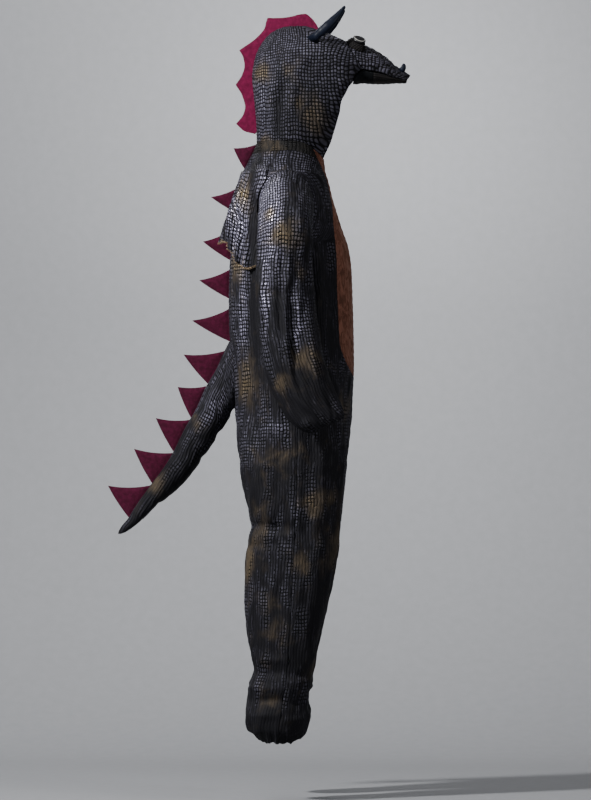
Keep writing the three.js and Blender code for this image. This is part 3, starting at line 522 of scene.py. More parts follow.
def scale_pattern(tree, across, along, crisp):
    """The dome of each scale, from 0 in the groove to 1 on top, and a chance number for each scale."""
    flat = grain_mm(tree, 1, 1)
    bent = grain_mm(tree, across, along)
    for size, amount in ((0.02, (1.5, 1.5, 0)), (0.1, (0.3, 0.4, 0))):
        bend = add_node(tree, "TexNoise", {"Vector": flat, "Scale": size, "Detail": 1.0}).outputs["Color"]
        inputs = {0: bend, 1: amount, 2: bent}
        bent = add_node(tree, "VectorMath", inputs, operation="MULTIPLY_ADD").outputs[0]
    place = add_node(tree, "SeparateXYZ", {"Vector": bent}).outputs
    column = maths(tree, "FLOOR", place[0])
    chance = add_node(tree, "TexWhiteNoise", {"W": column}, noise_dimensions="1D").outputs["Value"]
    up = maths(tree, "MULTIPLY_ADD", chance, 0.3, place[1])
    address = add_node(tree, "CombineXYZ", {"X": column, "Y": maths(tree, "FLOOR", up)}).outputs[0]
    chance = add_node(tree, "TexWhiteNoise", {"Vector": address}, noise_dimensions="2D").outputs["Value"]
    reach = []
    for part, share in ((place[0], 1.0), (up, smooth(tree, crisp, 0.0, 0.8, 0.25, 0.96))):
        off_middle = maths(tree, "MULTIPLY_ADD", maths(tree, "FRACT", part), 2.0, -1.0)
        far = maths(tree, "MULTIPLY", maths(tree, "ABSOLUTE", off_middle), share)
        reach.append(maths(tree, "POWER", far, OVAL))
    rim = maths(tree, "POWER", maths(tree, "ADD", *reach), 1 / OVAL)
    return smooth(tree, rim, 0.96, 0.4), chance


def scale_cloth(
    name, across, along, foil=1.0, ground="#060609", top="#a09db4", bronze="#a8946c", wear=1.7
):
    """across and along are a scale's size in millimetres. More wear leaves fewer crisp scales."""
    material, tree, shader = new_material(name, Specular_IOR_Level=0.14)
    flat = grain_mm(tree, 1, 1)
    # The stored strength of the foil's painted light, painted shade and wear.
    foil_wear_and_painted_light = stored(tree, "foil_wear_and_painted_light")
    slow = noise(tree, grain_mm(tree, 26, 90), 1.0, 3.0, 0.6, 0.6)
    crisp = maths(tree, "MULTIPLY_ADD", slow, 3.4, -wear)
    # Painted light makes the scales crisper, and wear and painted shade blur them.
    crisp = smooth(tree, maths(tree, "ADD", crisp, foil_wear_and_painted_light), 0.05, 0.95)
    dome, chance = scale_pattern(tree, across, along, crisp)
    smoke = noise(tree, grain_mm(tree, 38, 50), 1.0, 5.0, 0.6, 0.5)
    blot = maths(tree, "ADD", stored(tree, "bronze"), maths(tree, "MULTIPLY_ADD", smoke, 2.2, -1.2))
    blot = smooth(tree, blot, 0.0, 1.3)
    strands = noise(tree, grain_mm(tree, 1.8, 15), 1.0, 3.0, 0.6)
    strands = smooth(tree, strands, 0.3, 0.75, 0.45, 1.35)

    lucky = smooth(tree, chance, 0.0, 1.0, 0.35, 1.0)
    foiled = maths(tree, "MULTIPLY", maths(tree, "MULTIPLY", crisp, lucky), dome)
    # The foil's brightness follows the same strength: painted light brightens it, wear and painted shade dull
    # it.
    bright = maths(tree, "MULTIPLY_ADD", maths(tree, "POWER", foil_wear_and_painted_light, 2.8), 1.15 * foil, 0.08 * foil)
    foiled = maths(tree, "MULTIPLY", foiled, bright, clamp=True)
    nap = noise(tree, flat, 0.9, 3.0, 0.6)
    plain = mix(tree, nap, linear(ground), linear("#141318"))
    smoky = maths(tree, "MULTIPLY", maths(tree, "MULTIPLY", blot, strands), 0.7, clamp=True)
    plain = mix(tree, smoky, plain, linear("#574b3a"))
    metal = mix(tree, blot, linear(top), linear(bronze))
    colour = mix(tree, foiled, plain, metal)
    # The groove round each scale is darkened to near black: painted shade in the pressed recess.
    groove = smooth(tree, dome, 0.4, 0.0, 0.0, 0.95)
    groove = maths(tree, "MULTIPLY", groove, smooth(tree, crisp, 0.0, 0.6, 0.25, 1.0))
    colour = mix(tree, groove, colour, linear("#020203"))
    rough = smooth(tree, foiled, 0.0, 0.6, 0.72, 0.26)
    pressed = maths(tree, "MULTIPLY", dome, smooth(tree, crisp, 0.0, 0.6, 0.35, 1.0))
    relief = maths(tree, "MULTIPLY_ADD", nap, 0.1, pressed)
    relief = maths(tree, "MULTIPLY_ADD", strands, 0.12, relief)
    connect(
        tree,
        shader,
        Base_Color=colour,
        Roughness=rough,
        Metallic=maths(tree, "MULTIPLY", foiled, 0.7),
        Normal=bump(tree, relief, 2.0, 1.0),
    )
    return material


SCALES = scale_cloth("foil embossed velour", 7.2, 8.6)
HOOD_SCALES = scale_cloth("foil embossed velour, finer cut", 7.4, 8.4, 0.85, wear=1.15)
COLLAR_SCALES = scale_cloth(
    "foil embossed velour, rubbed dull", 9.0, 6.0, 0.1, "#15140f", "#3c393c", "#6b4a2c"
)
LIP_SCALES = scale_cloth("foil embossed velour, tan", 6.0, 5.0, 0.2, "#14110b", "#453b2b", "#6b5535")

# %% [markdown]
# The other materials are knitted, napped, coated or moulded. Each mixes two or three close colours by a
# noise or a wave of a real size, because no real cloth is one flat colour, and takes its relief from
# threads, fibres or faint drag lines. Threads too fine to show are drawn a little coarser.


# %% Other cloths
def knit_back():
    """The plain knitted side of the velour, which shows inside the hood and the openings."""
    material, tree, shader = new_material("knitted back of the velour", Sheen_Weight=0.25)
    loops = grain_mm(tree, 1.4, 1.9)
    ribs = add_node(tree, "TexWave", {"Vector": loops, "Scale": 0.31, "Distortion": 1.2, "Detail": 1.0})
    fluff = noise(tree, grain_mm(tree, 1, 1), 0.5, 4.0)
    colour = mix(tree, ribs.outputs["Fac"], linear("#101014"), linear("#2b2a2e"))
    colour = mix(tree, fluff, colour, linear("#1b1b1f"))
    connect(tree, shader, Base_Color=colour, Normal=bump(tree, ribs.outputs["Fac"], 0.4, 0.7))
    shader.inputs["Roughness"].default_value = 0.92
    return material


def crushed_velour():
    """Rust velour whose pile lies both ways, so that it is dark and light in turn."""
    material, tree, shader = new_material("crushed rust velour", Sheen_Weight=0.1, Sheen_Roughness=0.42)
    shader.inputs["Specular IOR Level"].default_value = 0.15
    shader.inputs["Sheen Tint"].default_value = linear("#e0a070")
    crush = noise(tree, grain_mm(tree, 16, 26), 1.0, 5.0, 0.62, 1.4)
    pile = noise(tree, grain_mm(tree, 0.9, 1.6), 1.0, 2.0)
    lie = smooth(tree, crush, 0.34, 0.66)
    colour = mix(tree, lie, linear("#2d1a16"), linear("#6a4337"))
    colour = mix(tree, maths(tree, "MULTIPLY", pile, 0.35), colour, linear("#8a5a46"))
    rough = smooth(tree, lie, 0.0, 1.0, 0.95, 0.62)
    under = bump(tree, crush, 1.6, 0.7)
    connect(tree, shader, Base_Color=colour, Roughness=rough, Normal=bump(tree, pile, 0.35, 0.6, under))
    return material


def felt(name, dark, light, rubbed):
    """Wool-mix felt: matted fibres with a faint fuzz and paler rubbed spots."""
    material, tree, shader = new_material(name, Sheen_Weight=0.05, Specular_IOR_Level=0.1)
    fibres = noise(tree, grain_mm(tree, 0.7, 3.2), 1.0, 5.0, 0.7, 2.5)
    matted = noise(tree, grain_mm(tree, 9, 9), 1.0, 4.0, 0.6)
    colour = mix(tree, smooth(tree, matted, 0.3, 0.72), linear(dark), linear(light))
    colour = mix(tree, smooth(tree, fibres, 0.52, 0.8, 0.0, 0.35), colour, linear(rubbed))
    under = bump(tree, matted, 0.9, 0.4)
    connect(tree, shader, Base_Color=colour, Normal=bump(tree, fibres, 0.35, 0.5, under))
    shader.inputs["Roughness"].default_value = 0.95
    return material


def horn_satin():
    """Navy coated satin, drawn tight over the stuffing, with fine drag lines along the horn."""
    material, tree, shader = new_material("navy coated satin", Specular_IOR_Level=0.12)
    lines = noise(tree, grain_mm(tree, 1.6, 34), 1.0, 4.0, 0.6, 0.8)
    cloudy = noise(tree, grain_mm(tree, 12, 18), 1.0, 3.0)
    colour = mix(tree, cloudy, linear("#070a12"), linear("#101625"))
    colour = mix(tree, smooth(tree, lines, 0.55, 0.8, 0.0, 0.5), colour, linear("#1c2436"))
    rough = smooth(tree, cloudy, 0.2, 0.8, 0.4, 0.55)
    connect(tree, shader, Base_Color=colour, Roughness=rough, Normal=bump(tree, lines, 0.5, 0.6))
    return material


def mouth_jersey():
    """Matt black jersey in the back of the mouth."""
    material, tree, shader = new_material("black mouth jersey", Specular_IOR_Level=0.15)
    ribs = add_node(tree, "TexWave", {"Vector": grain_mm(tree, 1.5, 1.5), "Scale": 0.3, "Distortion": 1.0})
    shade = noise(tree, grain_mm(tree, 14, 9), 1.0, 3.0)
    colour = mix(tree, shade, linear("#020304"), linear("#06080d"))
    connect(tree, shader, Base_Color=colour, Normal=bump(tree, ribs.outputs["Fac"], 0.3, 0.6))
    shader.inputs["Roughness"].default_value = 0.9
    return material


def eye_plastic():
    """Glossy moulded plastic: a black eye with a white ring. The UV map is centred on its axis."""
    material, tree, shader = new_material("moulded eye plastic", Specular_IOR_Level=0.15)
    uv = grain_mm(tree, 1, 1)
    radius = add_node(tree, "VectorMath", {0: uv}, operation="LENGTH").outputs["Value"]
    white = maths(tree, "MULTIPLY", smooth(tree, radius, 12.2, 12.5), smooth(tree, radius, 13.9, 13.6))
    swirl = noise(tree, uv, 0.6, 2.0)
    colour = mix(tree, white, linear("#050506"), linear("#a5a39e"))
    colour = mix(tree, maths(tree, "MULTIPLY", swirl, 0.12), colour, linear("#77767a"))
    rough = smooth(tree, swirl, 0.3, 0.7, 0.22, 0.34)
    connect(tree, shader, Base_Color=colour, Roughness=rough, Normal=bump(tree, swirl, 0.05, 0.4))
    return material


def polyester(name, dark, light):
    """Twisted sewing thread."""
    material, tree, shader = new_material(name, Sheen_Weight=0.2)
    place = add_node(tree, "TexCoord", {}).outputs["Object"]
    twist = add_node(tree, "TexWave", {"Vector": place, "Scale": 420.0, "Distortion": 0.6}).outputs["Fac"]
    connect(tree, shader, Base_Color=mix(tree, twist, linear(dark), linear(light)))
    connect(tree, shader, Normal=bump(tree, twist, 0.1, 0.6))
    shader.inputs["Roughness"].default_value = 0.55
    return material


KNIT_BACK = knit_back()
VELOUR = crushed_velour()
FELT = felt("crimson felt", "#4e0928", "#621034", "#771c42")
# The spikes' felt is the crest's felt made darker as painted shade.
SHADED_SPIKE_FELT = felt("crimson felt, darkened as painted shade", "#32081b", "#440e27", "#551935")
HORN_SATIN = horn_satin()
MOUTH_JERSEY = mouth_jersey()
EYE_PLASTIC = eye_plastic()
TAN_THREAD = polyester("tan overlock thread", "#5d4a33", "#9a8261")

# %% [markdown]
# ## Floor
# The floor is where the wearer's soles would be. It curves up into a pale wall, as a studio's paper
# sweep does, so that no corner shows behind the garment.

# %% Sweep
SOLES = -1.495
SWEEP_BACK, SWEEP_RADIUS, SWEEP_HALF = 2.6, 1.2, 6.0
SWEEP_FRONT, SWEEP_TOP = -9, 5


def studio_sweep():
    turns = np.linspace(0, math.pi / 2, 25)
    bend_x = SWEEP_BACK - SWEEP_RADIUS + SWEEP_RADIUS * np.sin(turns)
    bend_z = SOLES + SWEEP_RADIUS * (1 - np.cos(turns))
    bend = np.stack([bend_x, bend_z], 1)
    line = np.concatenate([[(SWEEP_FRONT, SOLES)], bend, [(SWEEP_BACK, SWEEP_TOP)]])
    edges = [[(x, side * SWEEP_HALF, z) for x, z in line] for side in (-1, 1)]
    count = len(line)
    faces = [(i, i + 1, count + i + 1, count + i) for i in range(count - 1)]
    mesh = bpy.data.meshes.new("studio_sweep")
    mesh.from_pydata(edges[0] + edges[1], [], faces)
    mesh.shade_smooth()
    material, tree, shader = new_material("pale backdrop paper", Specular_IOR_Level=0.2)
    place = add_node(tree, "TexCoord", {}).outputs["Object"]
    fibre = noise(tree, place, 40.0, 4.0)
    connect(tree, shader, Base_Color=mix(tree, fibre, linear("#818285"), linear("#898a8d")))
    connect(tree, shader, Normal=bump(tree, fibre, 0.2, 0.3))
    shader.inputs["Roughness"].default_value = 0.85
    mesh.materials.append(material)
    sweep = bpy.data.objects.new("studio_sweep", mesh)
    bpy.context.scene.collection.objects.link(sweep)
    return sweep


studio_sweep()

# %% [markdown]
# ## Cloth from a surface
# A piece of cloth is a grid of points on its surface. Beside the places it stores what the finish reads:
# a UV map in real metres with the grain along V, so that the embossed scales keep their size and follow
# the cut, the strength of the blotches, and the strength of the foil's painted light, painted shade and wear
# at each point. A Solidify modifier then gives the wall its thickness inwards.

# %% Meshes from grids
CLOTH = 2.0  # millimetres


def mesh_object(name, places, faces, grain, corners, facing, materials):
    """corners gives, for each corner of each face, which of the grain's points it takes."""
    mesh = bpy.data.meshes.new(name)
    mesh.from_pydata((places.reshape(-1, 3) * MM).tolist(), [], faces)
    mesh.shade_smooth()
    order = np.concatenate([np.asarray(face) for face in corners])
    uv = (grain.reshape(-1, 2) * MM)[order].astype(np.float32)
    mesh.uv_layers.new(name="grain").uv.foreach_set("vector", uv.ravel())
    # The second strength is the foil's painted light and painted shade, with its wear.
    for attribute, value in (("bronze", bronze_of(places, facing)), ("foil_wear_and_painted_light", foil_wear_and_painted_light_of(places))):
        data = mesh.attributes.new(attribute, "FLOAT", "POINT").data
        data.foreach_set("value", value.astype(np.float32).ravel())
    for material in materials:
        mesh.materials.append(material)
    made = bpy.data.objects.new(name, mesh)
    bpy.context.scene.collection.objects.link(made)
    return made


def arc_lengths(places, axis):
    steps = np.linalg.norm(np.diff(places, axis=axis), axis=-1)
    start = np.zeros_like(np.take(steps, [0], axis))
    return np.concatenate([start, np.cumsum(steps, axis)], axis)


def grid_normals(places, closed=False):
    """Unit normals of a grid, from its rows' direction crossed with its columns'."""
    along = np.gradient(places, axis=0)
    if closed:
        around = np.roll(places, -1, 1) - np.roll(places, 1, 1)
    else:
        around = np.gradient(places, axis=1)
    n = np.cross(along, around)
    return n / np.maximum(np.linalg.norm(n, axis=-1, keepdims=True), 1e-9)


def grid_faces(index, flip):
    a, b, c, d = index[:-1, :-1], index[1:, :-1], index[1:, 1:], index[:-1, 1:]
    order = (a, d, c, b) if flip else (a, b, c, d)
    return np.stack(order, -1).reshape(-1, 4).tolist()


def crumple(u, v, seed, size):
    """Small uneven creasing of worn cloth, as a height in millimetres over its own flat plane."""
    dice = np.random.RandomState(seed)
    height = np.zeros(u.shape)
    for wavelength, share in ((230, 0.9), (130, 0.8), (70, 0.6), (38, 0.34)):
        for _ in range(3):
            turn = dice.uniform(-0.8, 0.8)
            across = (u * math.cos(turn) + 0.5 * v * math.sin(turn)) / wavelength
            bend = 0.9 * np.sin(v / wavelength + dice.uniform(0, 6))
            wave = np.sin(2 * math.pi * across + dice.uniform(0, 6) + bend)
            height += share * (0.5 - np.abs(wave)) * 1.6
    return size * height / 2.2


# %% [markdown]
# ## Sewing
# A seam pulls the cloth in along its line and puckers it on both sides. Each sheet is told which of its
# four edges are sewn, and its points near those edges dip and pucker by about half a millimetre. An
# elastic does the same with deeper gathers.

# %% Sheets
SEAM_DIP, SEAM_REACH = 0.45, 5.0
PUCKER, PUCKER_REACH, PUCKER_PITCH = 0.5, 13, 17.0
SEAM_CALM = 16.0  # the creases die away this close to a sewn edge


def sewn(distance, along, edge):
    if edge.isupper():
        return 0 * distance
    dip = -SEAM_DIP * np.exp(-((distance / SEAM_REACH) ** 2))
    wave = np.sin(2 * math.pi * along / PUCKER_PITCH + 1.3 * np.sin(along / 41))
    return dip + PUCKER * wave * np.exp(-((distance / PUCKER_REACH) ** 2))


def gathered(distance, along, depth, pitch, reach):
    """Gathers that run up from an elastic and die away."""
    wave = np.sin(2 * math.pi * along / pitch + 1.6 * np.sin(along / 53))
    return depth * wave * np.exp(-((distance / reach) ** 2))


GRAIN_STEP = 470  # millimetres from one sheet's grain to the next, so that no two sheets match
sheet_seeds = iter(range(1, 100))
cut_sizes = {}


def cloth_sheet(
    name, bare, outward, materials, edges="lrtb", relief=0.0, rough=1.0, gather=None, grain=None, start=0.5
):
    """A cut panel. edges names the sewn edges of its grid: left, right, top and bottom, with a capital
    for one that is pressed flat. start is the share of its width at which its grain is counted from 0,
    best at an edge that is straight."""
    mirror = name.endswith("left")
    u, v = arc_lengths(bare, 1), arc_lengths(bare, 0)
    width, length = u[:, -1:], v[-1:, :]
    distances = {"l": (u, v), "r": (width - u, v), "t": (v, u), "b": (length - v, u)}
    down = np.median(np.diff(v, axis=0), axis=1)
    down = np.concatenate([[0], np.cumsum(down)])[:, None] + 0 * u
    level = u - width * start
    height = crumple(level, down, next(sheet_seeds), rough)
    for edge in edges:
        distance, along = distances[edge.lower()]
        height = height * (1 - np.exp(-((distance / SEAM_CALM) ** 2))) + sewn(distance, along, edge)
    if gather:
        height = height + gathered(length - v, u, *gather)
    facing = outward * grid_normals(bare)
    places = bare + facing * (height + relief)[..., None]
    if grain is None:
        grain = np.stack([level + GRAIN_STEP * len(cut_sizes), down], -1)
    if mirror:
        places = places * (-1, 1, 1)
        facing = facing * (-1, 1, 1)
    rows, columns = bare.shape[:2]
    faces = grid_faces(np.arange(rows * columns).reshape(rows, columns), (outward > 0) == mirror)
    made = mesh_object(name, places, faces, grain, faces, facing, materials)
    wall = made.modifiers.new("cloth_thickness", "SOLIDIFY")
    wall.thickness = CLOTH * MM
    wall.offset = -1
    wall.material_offset = 1
    wall.material_offset_rim = len(materials) - 1 if len(materials) > 2 else 0
    widest, longest = float(width.max()) * MM, float(length.max()) * MM
    quads = np.cross(places[1:, 1:] - places[:-1, :-1], places[1:, :-1] - places[:-1, 1:])
    area = float(np.linalg.norm(quads, axis=-1).sum()) / 2 * MM * MM
    cut_sizes[name] = (round(widest, 3), round(longest, 3), round(area, 4))
    print(name, "is cut from", cut_sizes[name][:2], "m, area", cut_sizes[name][2], "m2")
    return made


def stuffed(name, rings, start, end, grain, material, flip=False):
    """A closed form through rings that close on themselves, with a point at each end.
    grain has one column more than the rings have, for the seam where they close."""
    rows, columns = rings.shape[:2]
    facing = grid_normals(rings, closed=True)
    index = np.arange(rows * columns).reshape(rows, columns)
    wrapped = np.concatenate([index, index[:, :1]], 1)
    own = np.arange(rows * (columns + 1)).reshape(rows, columns + 1)
    faces, corners = grid_faces(wrapped, flip), grid_faces(own, flip)
    for ring, tip, uv_tip in ((0, rows * columns, own.size), (-1, rows * columns + 1, own.size + 1)):
        for j in range(columns):
            fan = [wrapped[ring, j], wrapped[ring, j + 1], tip]
            uv_fan = [own[ring, j], own[ring, j + 1], uv_tip]
            turn = -1 if (ring == 0) == flip else 1
            faces.append([int(i) for i in fan[::turn]])
            corners.append([int(i) for i in uv_fan[::turn]])
    places = np.concatenate([rings.reshape(-1, 3), [start, end]])
    ends = [facing[0].mean(0), facing[-1].mean(0)]
    sign = -1 if flip else 1
    facing = sign * np.concatenate([facing.reshape(-1, 3), ends])
    grain = np.concatenate([grain.reshape(-1, 2), [grain[0].mean(0), grain[-1].mean(0)]])
    print(name, "has", len(faces), "faces")
    return mesh_object(name, places, faces, grain, corners, facing, [material])


def widen(rings):
    """Rings with their first column repeated at the end, to measure a grain by."""
    return np.concatenate([rings, rings[:, :1]], 1)


def wrapped_grain(rings):
    closed = widen(rings)
    u, v = arc_lengths(closed, 1), arc_lengths(closed, 0)
    return np.stack([u - u[:, -1:] / 2, v.mean(1, keepdims=True) + 0 * u], -1)


def side_grain(places):
    """The grain of a piece cut from a side view, carried on round its top and its back."""
    x, y, z = np.moveaxis(places, -1, 0)
    facing = np.abs(grid_normals(places))
    away = np.abs(x).max() - np.abs(x)
    return np.stack([y + away * facing[..., 1] * 0.8, z + away * facing[..., 2] * 0.8], -1)


def dress(piece, slot, *nodes):
    """The piece stands for its solids and hangs with them."""
    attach(piece, "root")
    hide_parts(*nodes)


def hang(piece, slot, held, *nodes, rests_on=(), trim=()):
    dress(piece, slot, *nodes)


# %% [markdown]
# ## The body's panels
# Front and back meet at the side seam and at the inseam, round the armhole, and the front follows the
# velour belly down to its round end. Rows are closest where an edge turns most.

# %% Body panels
def rows_between(top, bottom, step):
    return np.linspace(top, bottom, max(2, round(abs(top - bottom) / step) + 1))


def armhole_rows(count):
    return ARMHOLE_HEIGHT + ARMHOLE_HALF_HEIGHT * cosine(np.linspace(0, 180, count))


def belly_rows(top, bottom, count):
    """Heights that follow the belly's round end."""
    depth = BELLY_TURN - BELLY_END
    turns = np.linspace(
        math.asin((BELLY_TURN - top) / depth), math.asin((BELLY_TURN - bottom) / depth), count
    )
    return BELLY_TURN - depth * np.sin(turns)


def spread(rows, first, last, columns):
    """A row's height and the angles across it, as two grids."""
    share = np.linspace(0, 1, columns + 1)
    heights = np.repeat(rows[:, None], columns + 1, 1)
    return heights, first[:, None] + (last - first)[:, None] * share


def front_start(height):
    beside = front_angle(height, belly_half(height) + SEAM)
    return np.where(height <= BELLY_END, inner_front(height), beside)


shoulder_rows = rows_between(COLLAR_FOOT - SEAM / 2, ARMHOLE_HEIGHT + ARMHOLE_HALF_HEIGHT + 2, 4)
side_rows = rows_between(-176, BELLY_TURN + 4, 4.5)
round_rows = belly_rows(BELLY_TURN, BELLY_END + 0.05, 26)
leg_rows = rows_between(BELLY_END - 0.5, HEM, 4.5)
panel_rows = np.concatenate([shoulder_rows, armhole_rows(36), side_rows, round_rows, leg_rows])

front_grid = spread(panel_rows, front_start(panel_rows), outer_front(panel_rows), 46)
back_grid = spread(panel_rows, outer_back(panel_rows), 360 - inner_front(panel_rows), 46)

# Creases that are too fine for the solids: height, angle, half length, half width, depth, slant.
FRONT_CREASES = [
    (-520, 168, 60, 3, -3, 0.02),
    (-610, 160, 80, 3, 2.5, 0.03),
    (-660, 120, 60, 4, -3, -0.06),
    (-700, 80, 30, 5, -3, 0.2),
    (-730, 150, 70, 3, 3, 0.05),
    (-820, 165, 60, 4, -3, 0.08),
    (-860, 130, 18, 16, -3, 0),
    (-905, 110, 16, 20, 2.5, 0),
    (-990, 170, 70, 4, 3, -0.03),
    (-1090, 140, 60, 4, -3, 0.06),
    (-1150, 120, 12, 18, 3, 0),
    (-1196, 150, 8, 30, -3.5, 0),
    (-1222, 110, 7, 26, 3, 0),
    (-1262, 140, 8, 24, -3, 0),
    (-1300, 150, 8, 20, 3, 0),
]
BACK_CREASES = [
    (-330, 246, 120, 3, 3, 0),
    (-350, 232, 130, 3, -3.5, 0),
    (-380, 214, 140, 3, 3, 0),
    (-300, 200, 90, 3, -3, 0),
    (-560, 200, 70, 3, 3, 0.04),
    (-620, 225, 80, 4, -3, 0.05),
    (-700, 255, 36, 6, -4, 0.1),
    (-730, 200, 70, 4, -3, -0.03),
    (-810, 215, 40, 5, 3, 0.1),
    (-843, 235, 8, 40, -3.5, 0),
    (-866, 215, 8, 40, 3, 0),
    (-890, 240, 9, 36, -3, 0),
    (-1000, 205, 80, 4, 3, 0.03),
    (-1080, 235, 60, 5, -3, -0.05),
    (-1160, 215, 10, 36, 3, 0),
    (-1190, 225, 8, 40, -4, 0),
    (-1226, 235, 8, 36, 3.5, 0),
    (-1254, 205, 8, 36, -3, 0),
    (-1290, 220, 9, 36, 3, 0),
]
WALL = [SCALES, KNIT_BACK]
HEM_GATHERS = (2.4, 24, 34)  # depth, pitch and reach in millimetres
CREASE_GAIN = 1.5  # how many times deeper the fine creases are drawn than their tables say

for side in ("right", "left"):
    front = cloth_sheet(
        "front_cloth_" + side,
        body_point(*front_grid),
        -1,
        WALL,
        edges="lRt",
        relief=CREASE_GAIN * fold_height(FRONT_CREASES, *front_grid),
        rough=2.4,
        gather=HEM_GATHERS,
        start=1,
    )
    hang(front, "scale_cloth", "hung", "front_" + side, "front_thigh_" + side, "front_shin_" + side)
    back = cloth_sheet(
        "back_cloth_" + side,
        body_point(*back_grid),
        -1,
        WALL,
        edges="Lrt",
        relief=CREASE_GAIN * fold_height(BACK_CREASES, *back_grid),
        rough=2.4,
        gather=HEM_GATHERS,
        start=0,
    )
    hang(back, "scale_cloth", "hung", "back_" + side, "back_thigh_" + side, "back_shin_" + side)

# %% [markdown]
# The belly is two halves of velour with a concealed closure between them. The collar stands up round the
# neck behind it, in the same cloth as the body but rubbed dull by wear.

# %% Belly and collar
belly_heights = np.concatenate(
    [rows_between(NECKLINE, BELLY_TURN + 4, 4.5), belly_rows(BELLY_TURN, BELLY_END + 1.5, 22)]
)
belly_grid = spread(
    belly_heights, inner_front(belly_heights), front_angle(belly_heights, belly_half(belly_heights)), 24
)
collar_heights = rows_between(NECKLINE, COLLAR_FOOT - SEAM, 2.5)
collar_grid = spread(
    collar_heights,
    front_angle(collar_heights, belly_half(collar_heights) + SEAM),
    360 - inner_front(collar_heights),
    60,
)

for side in ("right", "left"):
    belly = cloth_sheet(
        "belly_velour_" + side, body_point(*belly_grid), -1, [VELOUR, KNIT_BACK], edges="lrt", rough=0.9
    )
    hang(belly, "belly_velour", "hung", "belly_" + side)
    ridges = 1.2 * np.sin(collar_grid[0] * 0.75 + collar_grid[1] * 0.09)
    collar = cloth_sheet(
        "collar_cloth_" + side,
        body_point(*collar_grid),
        -1,
        [COLLAR_SCALES, KNIT_BACK],
        edges="b",
        relief=np.minimum(ridges, 0.8),
        rough=0.3,
    )
    hang(collar, "scale_cloth", "hung", "collar_" + side)

# %% [markdown]
# ## Sleeves
# The cap turns about a level axis just under the armhole, from the armhole to a level ring. Below it the
# sleeve is a bent tube with an elastic in its wrist.

# %% Sleeves
CAP_AXIS_X, CAP_AXIS_Z = -164, -187
CAP_NEAR, CAP_SHRINK, CAP_DEEPEN, ARMHOLE_CLEAR = 13, 0.36, 1.05, 1.7
SLEEVE_TOP, WRIST = -187, -607
PART_LENGTH = 100  # millimetres of sleeve to one part, below the cap
CAP_PINCH, CAP_PINCH_PITCH = 1.3, 13  # the cap's gathers: depth in millimetres, pitch in degrees
WRIST_GATHERS = (2.4, 19, 30)


def armhole_point(degrees):
    height = ARMHOLE_HEIGHT + ARMHOLE_HALF_HEIGHT * cosine(degrees)
    _, _, _, _, front, back, side = body_at(height)
    reach = ARMHOLE_HALF_DEPTH * sine(degrees)
    depth = np.where(reach < 0, side - front, back - side)
    turn = 180 + np.degrees(np.arcsin(reach / depth))
    return body_point(height, turn) + ARMHOLE_CLEAR * normals(body_point, height, turn, BODY_STEP)


def cap_point(part, degrees):
    x, y, z = np.moveaxis(armhole_point(degrees), -1, 0)
    right, up = CAP_AXIS_X - x, z - CAP_AXIS_Z
    lean = np.arctan2(right, up) * (1 - part) + part * math.pi / 2
    length = CAP_NEAR + (np.hypot(right, up) - CAP_NEAR) * (1 - CAP_SHRINK * part)
    deep = y + (y * CAP_DEEPEN + 5 - y) * part
    return point(CAP_AXIS_X - length * np.sin(lean), deep, CAP_AXIS_Z + length * np.cos(lean))


sleeve_at = curves(
    "drop x y swing half_width half_depth",
    [
        (-187, -230, 5, 0, 53, 64),
        (-235, -232, 6, 0, 54, 66),
        (-283, -234, 5, 0, 55, 69),
        (-340, -237, 2, 3, 56, 71),  # elbow
        (-400, -240, -5, 6, 56, 73),
        (-460, -243, -16, 11, 55, 72),
        (-510, -247, -32, 17, 53, 70),
        (-550, -250, -52, 20, 51, 66),
        (-580, -252, -72, 24, 48, 60),  # bag of cloth over the elastic
        (-600, -252, -88, 25, 43, 50),
        (-607, -250, -97, 25, 35, 38),  # wrist opening
    ],
)
SLEEVE_FOLDS = [
    (-440, 20, 100, 13, 8, -0.18),
    (-420, -22, 110, 16, -6, -0.1),
    (-300, 60, 60, 16, 6, 0.1),
    (-330, 95, 34, 18, -5, 0.3),
    (-300, 10, 12, 40, -4, 0),
    (-250, -45, 80, 14, -5, 0),
    (-260, 30, 70, 12, 4, 0.1),
    (-390, 120, 60, 16, 5, 0.1),
    (-480, -60, 60, 16, 6, 0.05),
    (-520, 70, 40, 16, -5, 0.1),
    (-560, -30, 24, 22, -4, 0),
    (-570, 110, 20, 30, 4, 0),
    (-400, 200, 90, 20, -4, 0),
]


def tube_point(drop, degrees):
    x, y, swing, half_width, half_depth = sleeve_at(drop)
    signed = np.where(degrees > 225, degrees - 360, degrees)
    fold = fold_height(SLEEVE_FOLDS, drop, signed)
    out = (half_width + fold) * cosine(degrees)
    rear = (half_depth + fold) * sine(degrees)
    return point(x - out, y + rear * cosine(swing), drop - rear * sine(swing))


def sleeve_point(part, degrees):
    tube = tube_point(SLEEVE_TOP - (part - 1) * PART_LENGTH, degrees)
    cap = cap_point(np.clip(part, 0, 1), degrees)
    level = cap * (1, 1, 0) + tube * (0, 0, 1)
    ease = np.clip(1 - (part - 1) / 0.48, 0, 1)[..., None] ** 2
    return np.where(part[..., None] <= 1, cap, tube + (level - tube) * ease)


